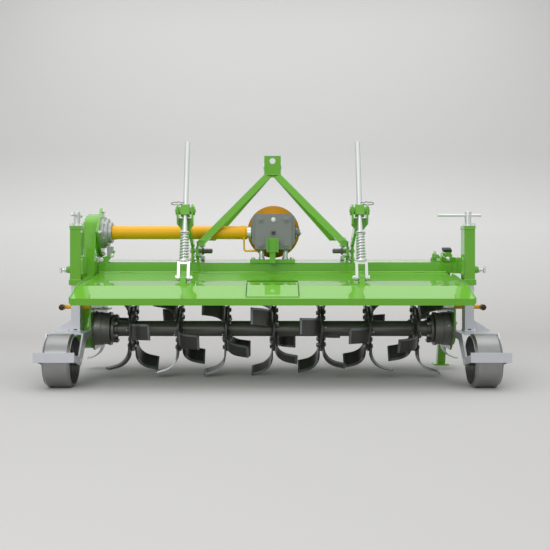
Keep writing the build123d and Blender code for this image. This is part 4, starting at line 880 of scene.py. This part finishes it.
# ---------------------------------------------------------------- headstock, hitch and deck
def hitch_fittings(side, s):
    """Nuts and bolts through the hitch plate, its beads, and the pin's shoulder and end."""
    bolts = Piece(f"hitch_bolts_{side}", "frame", ZINC)
    bolts.bolt((s * HITCH_OUT, *HITCH_PIN), (s, 0, 0), 19)
    for y, z, size, head_outside in ((345, 622, 14, False), (320, 700, 12, True),
                                     (150, 640, 11, True)):
        bolts.bolt((s * HITCH_OUT, y, z), (s, 0, 0), size, head=head_outside)
        bolts.bolt((s * HITCH_IN, y, z), (-s, 0, 0), size, head=not head_outside)
    bolts.done()
    pin = Piece(f"hitch_pin_ends_{side}", "frame", DARK)
    for x, profile, sides in (
            (HITCH_IN, [(14, 0), (21, 0), (21, 5), (19.5, 7), (14, 7)], 28),
            (350.5, [(13.6, -3), (13.8, 0), (11, 4), (6, 6), (0, 6.5)], 24)):
        pin.turned((s * x, *HITCH_PIN), (-s, 0, 0), profile, sides)
    pin.done()
    welds = Piece(f"hitch_welds_{side}", "frame", GREEN)
    for x in (HITCH_IN - 1, HITCH_OUT + 1):
        welds.weld([(s * x, 116, BEAD_Z), (s * x, 388, BEAD_Z)], 3.6)
    welds.done()


def headstock_welds():
    """Beads round the top bracket and the legs' joints, and the bushes of the top link's pin."""
    bead = Piece("headstock_welds", "frame", GREEN)
    bead.weld([(-TOP_HALF, 289, 1098), (TOP_HALF, 289, 1098)], 3.6)
    bead.weld([(-TOP_HALF, 300, 1097), (-30, 296, 1090), (0, 293, 1086), (30, 296, 1090),
               (TOP_HALF, 300, 1097)], 4.2)
    for s in (-1, 1):
        for start, end, y, z in ((325, 373, 301, 742), (376, 412, 49, 711), (365, 400, 36, 722)):
            bead.weld([(s * start, y, z), (s * end, y, z)], 3.2)
    bead.done()
    bush = Piece("top_bracket_bushes", "frame", ZINC)
    for s in (-1, 1):
        bush.turned((s * TOP_HALF, *TOP_PIN), (s, 0, 0),
                    [(13.2, 0), (19, 0), (19, 3), (18, 4), (13.2, 4)], 28)
    bush.done()


def beam_details():
    """Beads along the beam and the deck, the deck's cover sheet, hinge pins and deck bolts."""
    beads = Piece("beam_caps", "frame", GREEN)
    for s in (-1, 1):
        beads.weld([(s * 950, 112, 547), (s * 950, 112, 591)], 3.2)
    for low, high in ((-940, -460), (460, 940)):
        beads.weld([(low, 160, BEAD_Z), (high, 160, BEAD_Z)], 2.6)
    beads.done()
    cover = Piece("deck_cover", "frame", GREEN)
    section = [(148, 600.6), (391, 613.4), (391, 601.0), (148, 599.6)]
    cover.skin([[(x, y, z) for y, z in section] for x in (-948, 948)])
    cover.done()
    pins = Piece("hinge_pins", "frame", ZINC)
    for k in range(KNUCKLES):
        x = KNUCKLE_PITCH * (k - (KNUCKLES - 1) / 2)
        for s in (-1, 1):
            pins.turned((x + s * 30.4, HINGE_Y, HINGE_Z), (s, 0, 0),
                        [(0, 0), (6.6, 0), (6.6, 3), (5, 4.5), (0, 4.5)], 16)
    pins.done()
    bolts = Piece("deck_bolts", "frame", ZINC)
    for x in (-700, -560, 560, 700):
        bolts.bolt((x, 300, DECK_TOP), Z, 11)
    for s in (-1, 1):
        for x in (250, 600, 880):
            bolts.bolt((s * x, 400, 560), Y, 10)
    bolts.done()


def hood_details():
    """Painted shade line round the hood's centre plate, and beads at its lugs."""
    half, front, rear, lift = 128.0, -214.0, -440.0, 1.0

    def on_sheet(x, y):
        """Place just over the hood's upper face."""
        if y < FOLD_Y:
            slope = (FOLD_Z - LIP_Z) / (FOLD_Y - LIP_Y)
        else:
            slope = (HINGE_Z - 2 - FOLD_Z) / (HINGE_Y - FOLD_Y)
        return (x, y, FOLD_Z + HOOD_T + (y - FOLD_Y) * slope + lift)

    # painted shade: a dark tube just over the sheet stands in for the shadow gap at the centre
    # plate's edge
    shade_line = Piece("centre_plate_shade_line", "hood_body", SHADE_LINE)
    shade_line.tube([on_sheet(-half, y) for y in (rear, FOLD_Y, front)]
              + [on_sheet(half, y) for y in (front, FOLD_Y, rear)], 2.2, 6)
    shade_line.done()
    bead = Piece("hood_lug_welds", "hood_body", GREEN)
    for s in (-1, 1):
        for out in (-15, 15):
            bead.weld([on_sheet(s * ROD_X + out, y) for y in (-196, -230)], 3.0)
    bead.done()


# ---------------------------------------------------------------- posts, legs and wheels
def around(x, y, z, half_x, half_y):
    """Corners of a level rectangle."""
    return [(x - half_x, y - half_y, z), (x + half_x, y - half_y, z), (x + half_x, y + half_y, z),
            (x - half_x, y + half_y, z)]


def post_fittings(side, s):
    """Bolts, clamp and T bar fittings of a wheel post, its beads, and the beam's ear by it."""
    post_x, clamp_x = s * POST_X, s * 1037.5
    zinc = Piece(f"post_bolts_{side}", "frame", ZINC)
    bolt_y = POST_Y - 26
    for x in (post_x - 23, post_x + 23):
        zinc.bolt((x, bolt_y, POST_TOP), Z, 11)
        zinc.turned((x, bolt_y, POST_TOP + 9), Z, [(6, 0), (6, 6), (4.5, 7.5), (0, 7.5)], 14)
    zinc.turned((post_x, POST_Y, POST_TOP), Z,
                [(17.2, 0), (23, 0), (23, 5), (20, 8), (17.2, 8)], 28)
    zinc.turned((post_x, POST_Y, POST_TOP + 73), Z, [(17, -4), (16, 0), (12, 2.5), (0, 3)], 24)
    zinc.hexagon((clamp_x + s * 25, POST_Y, CLAMP_Z), (s, 0, 0), 18, 11)
    zinc.tube([(clamp_x + s * out, POST_Y + y, CLAMP_Z + z)
               for out, y, z in ((50, -20, 12), (54, 0, 0), (58, 20, -12))], 4.2, 10)
    if s > 0:  # this T bar lies along X, the other along Y
        for x, way in ((-152.6, -1), (65.4, 1)):
            zinc.dome((POST_X + x, POST_Y, HANDLE_Z), (way, 0, 0), 8.4, 4)
        zinc.turned((POST_X, POST_Y - 17, HANDLE_Z), (0, -1, 0),
                    [(0, -1), (6, -1), (6, 2), (4, 3), (0, 3)], 16)
    else:
        for y, way in ((-119.9, -1), (98.1, 1)):
            zinc.dome((-POST_X, POST_Y + y, HANDLE_Z), (0, way, 0), 8.4, 4)
    for y in (-6, 28):
        zinc.bolt((s * 992, y, 566), (s, 0, 0), 9)
    zinc.done()
    green = Piece(f"post_welds_{side}", "frame", GREEN)
    for z in (518, 780):
        green.weld(around(post_x, POST_Y, z, 29, 41.5), 2.4, closed=True)
    green.turned((clamp_x, POST_Y, CLAMP_Z), (s, 0, 0),
                 [(0, -1), (21, -1), (20.5, 3), (18.5, 12), (17.5, 20), (15.5, 24.5),
                  (0, 24.5)], 32)
    low, high, deep, corner = 546.0, 632.0, 38.0, 14.0
    outline = [(0, low), (0, high), (-deep + corner, high)]
    for a in (0.4, 0.8, 1.2, 1.57):
        outline.append((-deep + corner * (1 - math.sin(a)), high - corner * (1 - math.cos(a))))
    outline.append((-deep, low))
    green.plate((s * 972, POST_Y - 8, 0), (s, 0, 0), Y, [(y, s * z) for y, z in outline], 9)
    green.done()


def leg_fittings(side, s):
    """Beads of a wheel's leg and fork, axle bolts, the painted shade of the leg's slot, and the
    wheel's rims.
    """
    body, post_x, wheel_x = f"leg_{side}", s * POST_X, s * WHEEL_X
    arm_out, rim_out, rim_half, hub_out = 84, 52.5, 24, 62
    silver = Piece(f"fork_welds_{side}", body, SILVER)
    silver.weld(around(post_x, POST_Y, FORK_BEAD_Z, 24.5, 37), 3.2, closed=True)
    for e in (-1, 1):
        arm_x = wheel_x + e * arm_out
        silver.weld([(arm_x, -308, 250), (arm_x, -126, 250)], 3.0)
        silver.weld([(arm_x + e, -522, 141), (arm_x + e, -522, 182)], 2.6)
    silver.done()
    zinc = Piece(f"axle_nuts_{side}", body, ZINC)
    for e in (-1, 1):
        zinc.bolt((wheel_x + e * arm_out, WHEEL_Y, WHEEL_Z), (e, 0, 0), 17)
    zinc.done()
    # painted shade: a thin black patch on the leg's face stands in for the dark inside of its slot
    slot = Piece(f"leg_notch_shade_{side}", body, BLACK)
    slot.block((post_x - 8, POST_Y - 37.5, 259), (post_x + 8, POST_Y - 35.2, 266), 0.6)
    slot.done()
    rims = Piece(f"wheel_rims_{side}", f"gauge_wheel_{side}", WHEEL)
    for e in (-1, 1):
        points = ring((wheel_x + e * (rim_out - rim_half), WHEEL_Y, WHEEL_Z), 120.5, 90)
        rims.weld([at for _, at in points], 2.4, closed=True)
        rims.turned((wheel_x + e * hub_out, WHEEL_Y, WHEEL_Z), (e, 0, 0),
                    [(11, -3), (25, -3), (25, 1.5), (22, 3.5), (11, 3.5)], 28)
    rims.done()


def guard_caps(side, s):
    """Round plastic end of a guard bar."""
    cap = Piece(f"guard_cap_{side}", "frame", BLACK)
    cap.turned((s * 1091, -129.5, 374), (0, -1, 0),
               [(11.3, -1.5), (15.0, -1.5), (16.0, 0), (16.2, 12), (15.2, 16), (12, 18.2),
                (0, 18.8)], 28)
    cap.done()


# ---------------------------------------------------------------- sides, shoes and stand
def side_fittings(side, s):
    """Bolts of the shoe and the small plate, and the right side's bearing cap."""
    zinc = Piece(f"side_bolts_{side}", "frame", ZINC)
    for y in (262, 305):
        zinc.bolt((s * SKID_OUT, y, 165), (s, 0, 0), 10)
    if s > 0:
        for _, at in ring((SKID_OUT, 0, AXIS_Z), 72, 6, math.pi / 6):
            zinc.bolt(at, X, 10.5)
    for y in (-38, 34):
        zinc.bolt((s * 907, y, 358), Z, 9)
    zinc.done()
    if s > 0:
        cap = Piece("bearing_cap_right", "frame", DARK)
        cap.turned((SIDE_OUT, 0, AXIS_Z), X,
                   [(0, 0), (88, 0), (88, 5), (86, 7), (52, 7), (48, 12), (40, 15), (0, 15)], 48)
        cap.done()


def stand_fittings():
    """Cap on the stand's tube, and the lock pin's head and ring."""
    top_y, top_z = STAND_TOP
    slope = (top_y - STAND_FOOT_Y) / top_z
    cap = Piece("stand_cap", "stand_body", BLACK)
    turn = frame_at((STAND_X, top_y, top_z), (0, top_y - STAND_FOOT_Y, top_z), X)
    cap.block((-24.5, -24.5, -6), (24.5, 24.5, 9), 3.0, turn)
    cap.done()
    pin = Piece("stand_pin_fittings", "frame", ZINC)
    at = Vector((STAND_X, STAND_FOOT_Y + STAND_PIN_Z * slope, STAND_PIN_Z))
    pin.dome(at - Y * 42, (0, -1, 0), 12, 7)
    pin.tube([at + Vector(step) for step in ((0, -46, 0), (-18, -50, 6), (-32, -50, 18),
                                             (-34, -48, 32), (-22, -46, 36), (-12, -44, 26))], 2.4)
    pin.done()


# ---------------------------------------------------------------- build
make_camera()
make_floor()
make_light()
finish_nodes()
for side_name, sign in SIDES:
    for dress in (spring, rod_fittings, pivot_fittings, hitch_fittings, post_fittings,
                  leg_fittings, guard_caps, side_fittings):
        dress(side_name, sign)
for dress in (blade_bolts, blade_edges, rotor_ends, gearbox_parts, drive_guard, case_fittings,
              case_stay, stand_clip, headstock_welds, beam_details, hood_details, stand_fittings):
    dress()
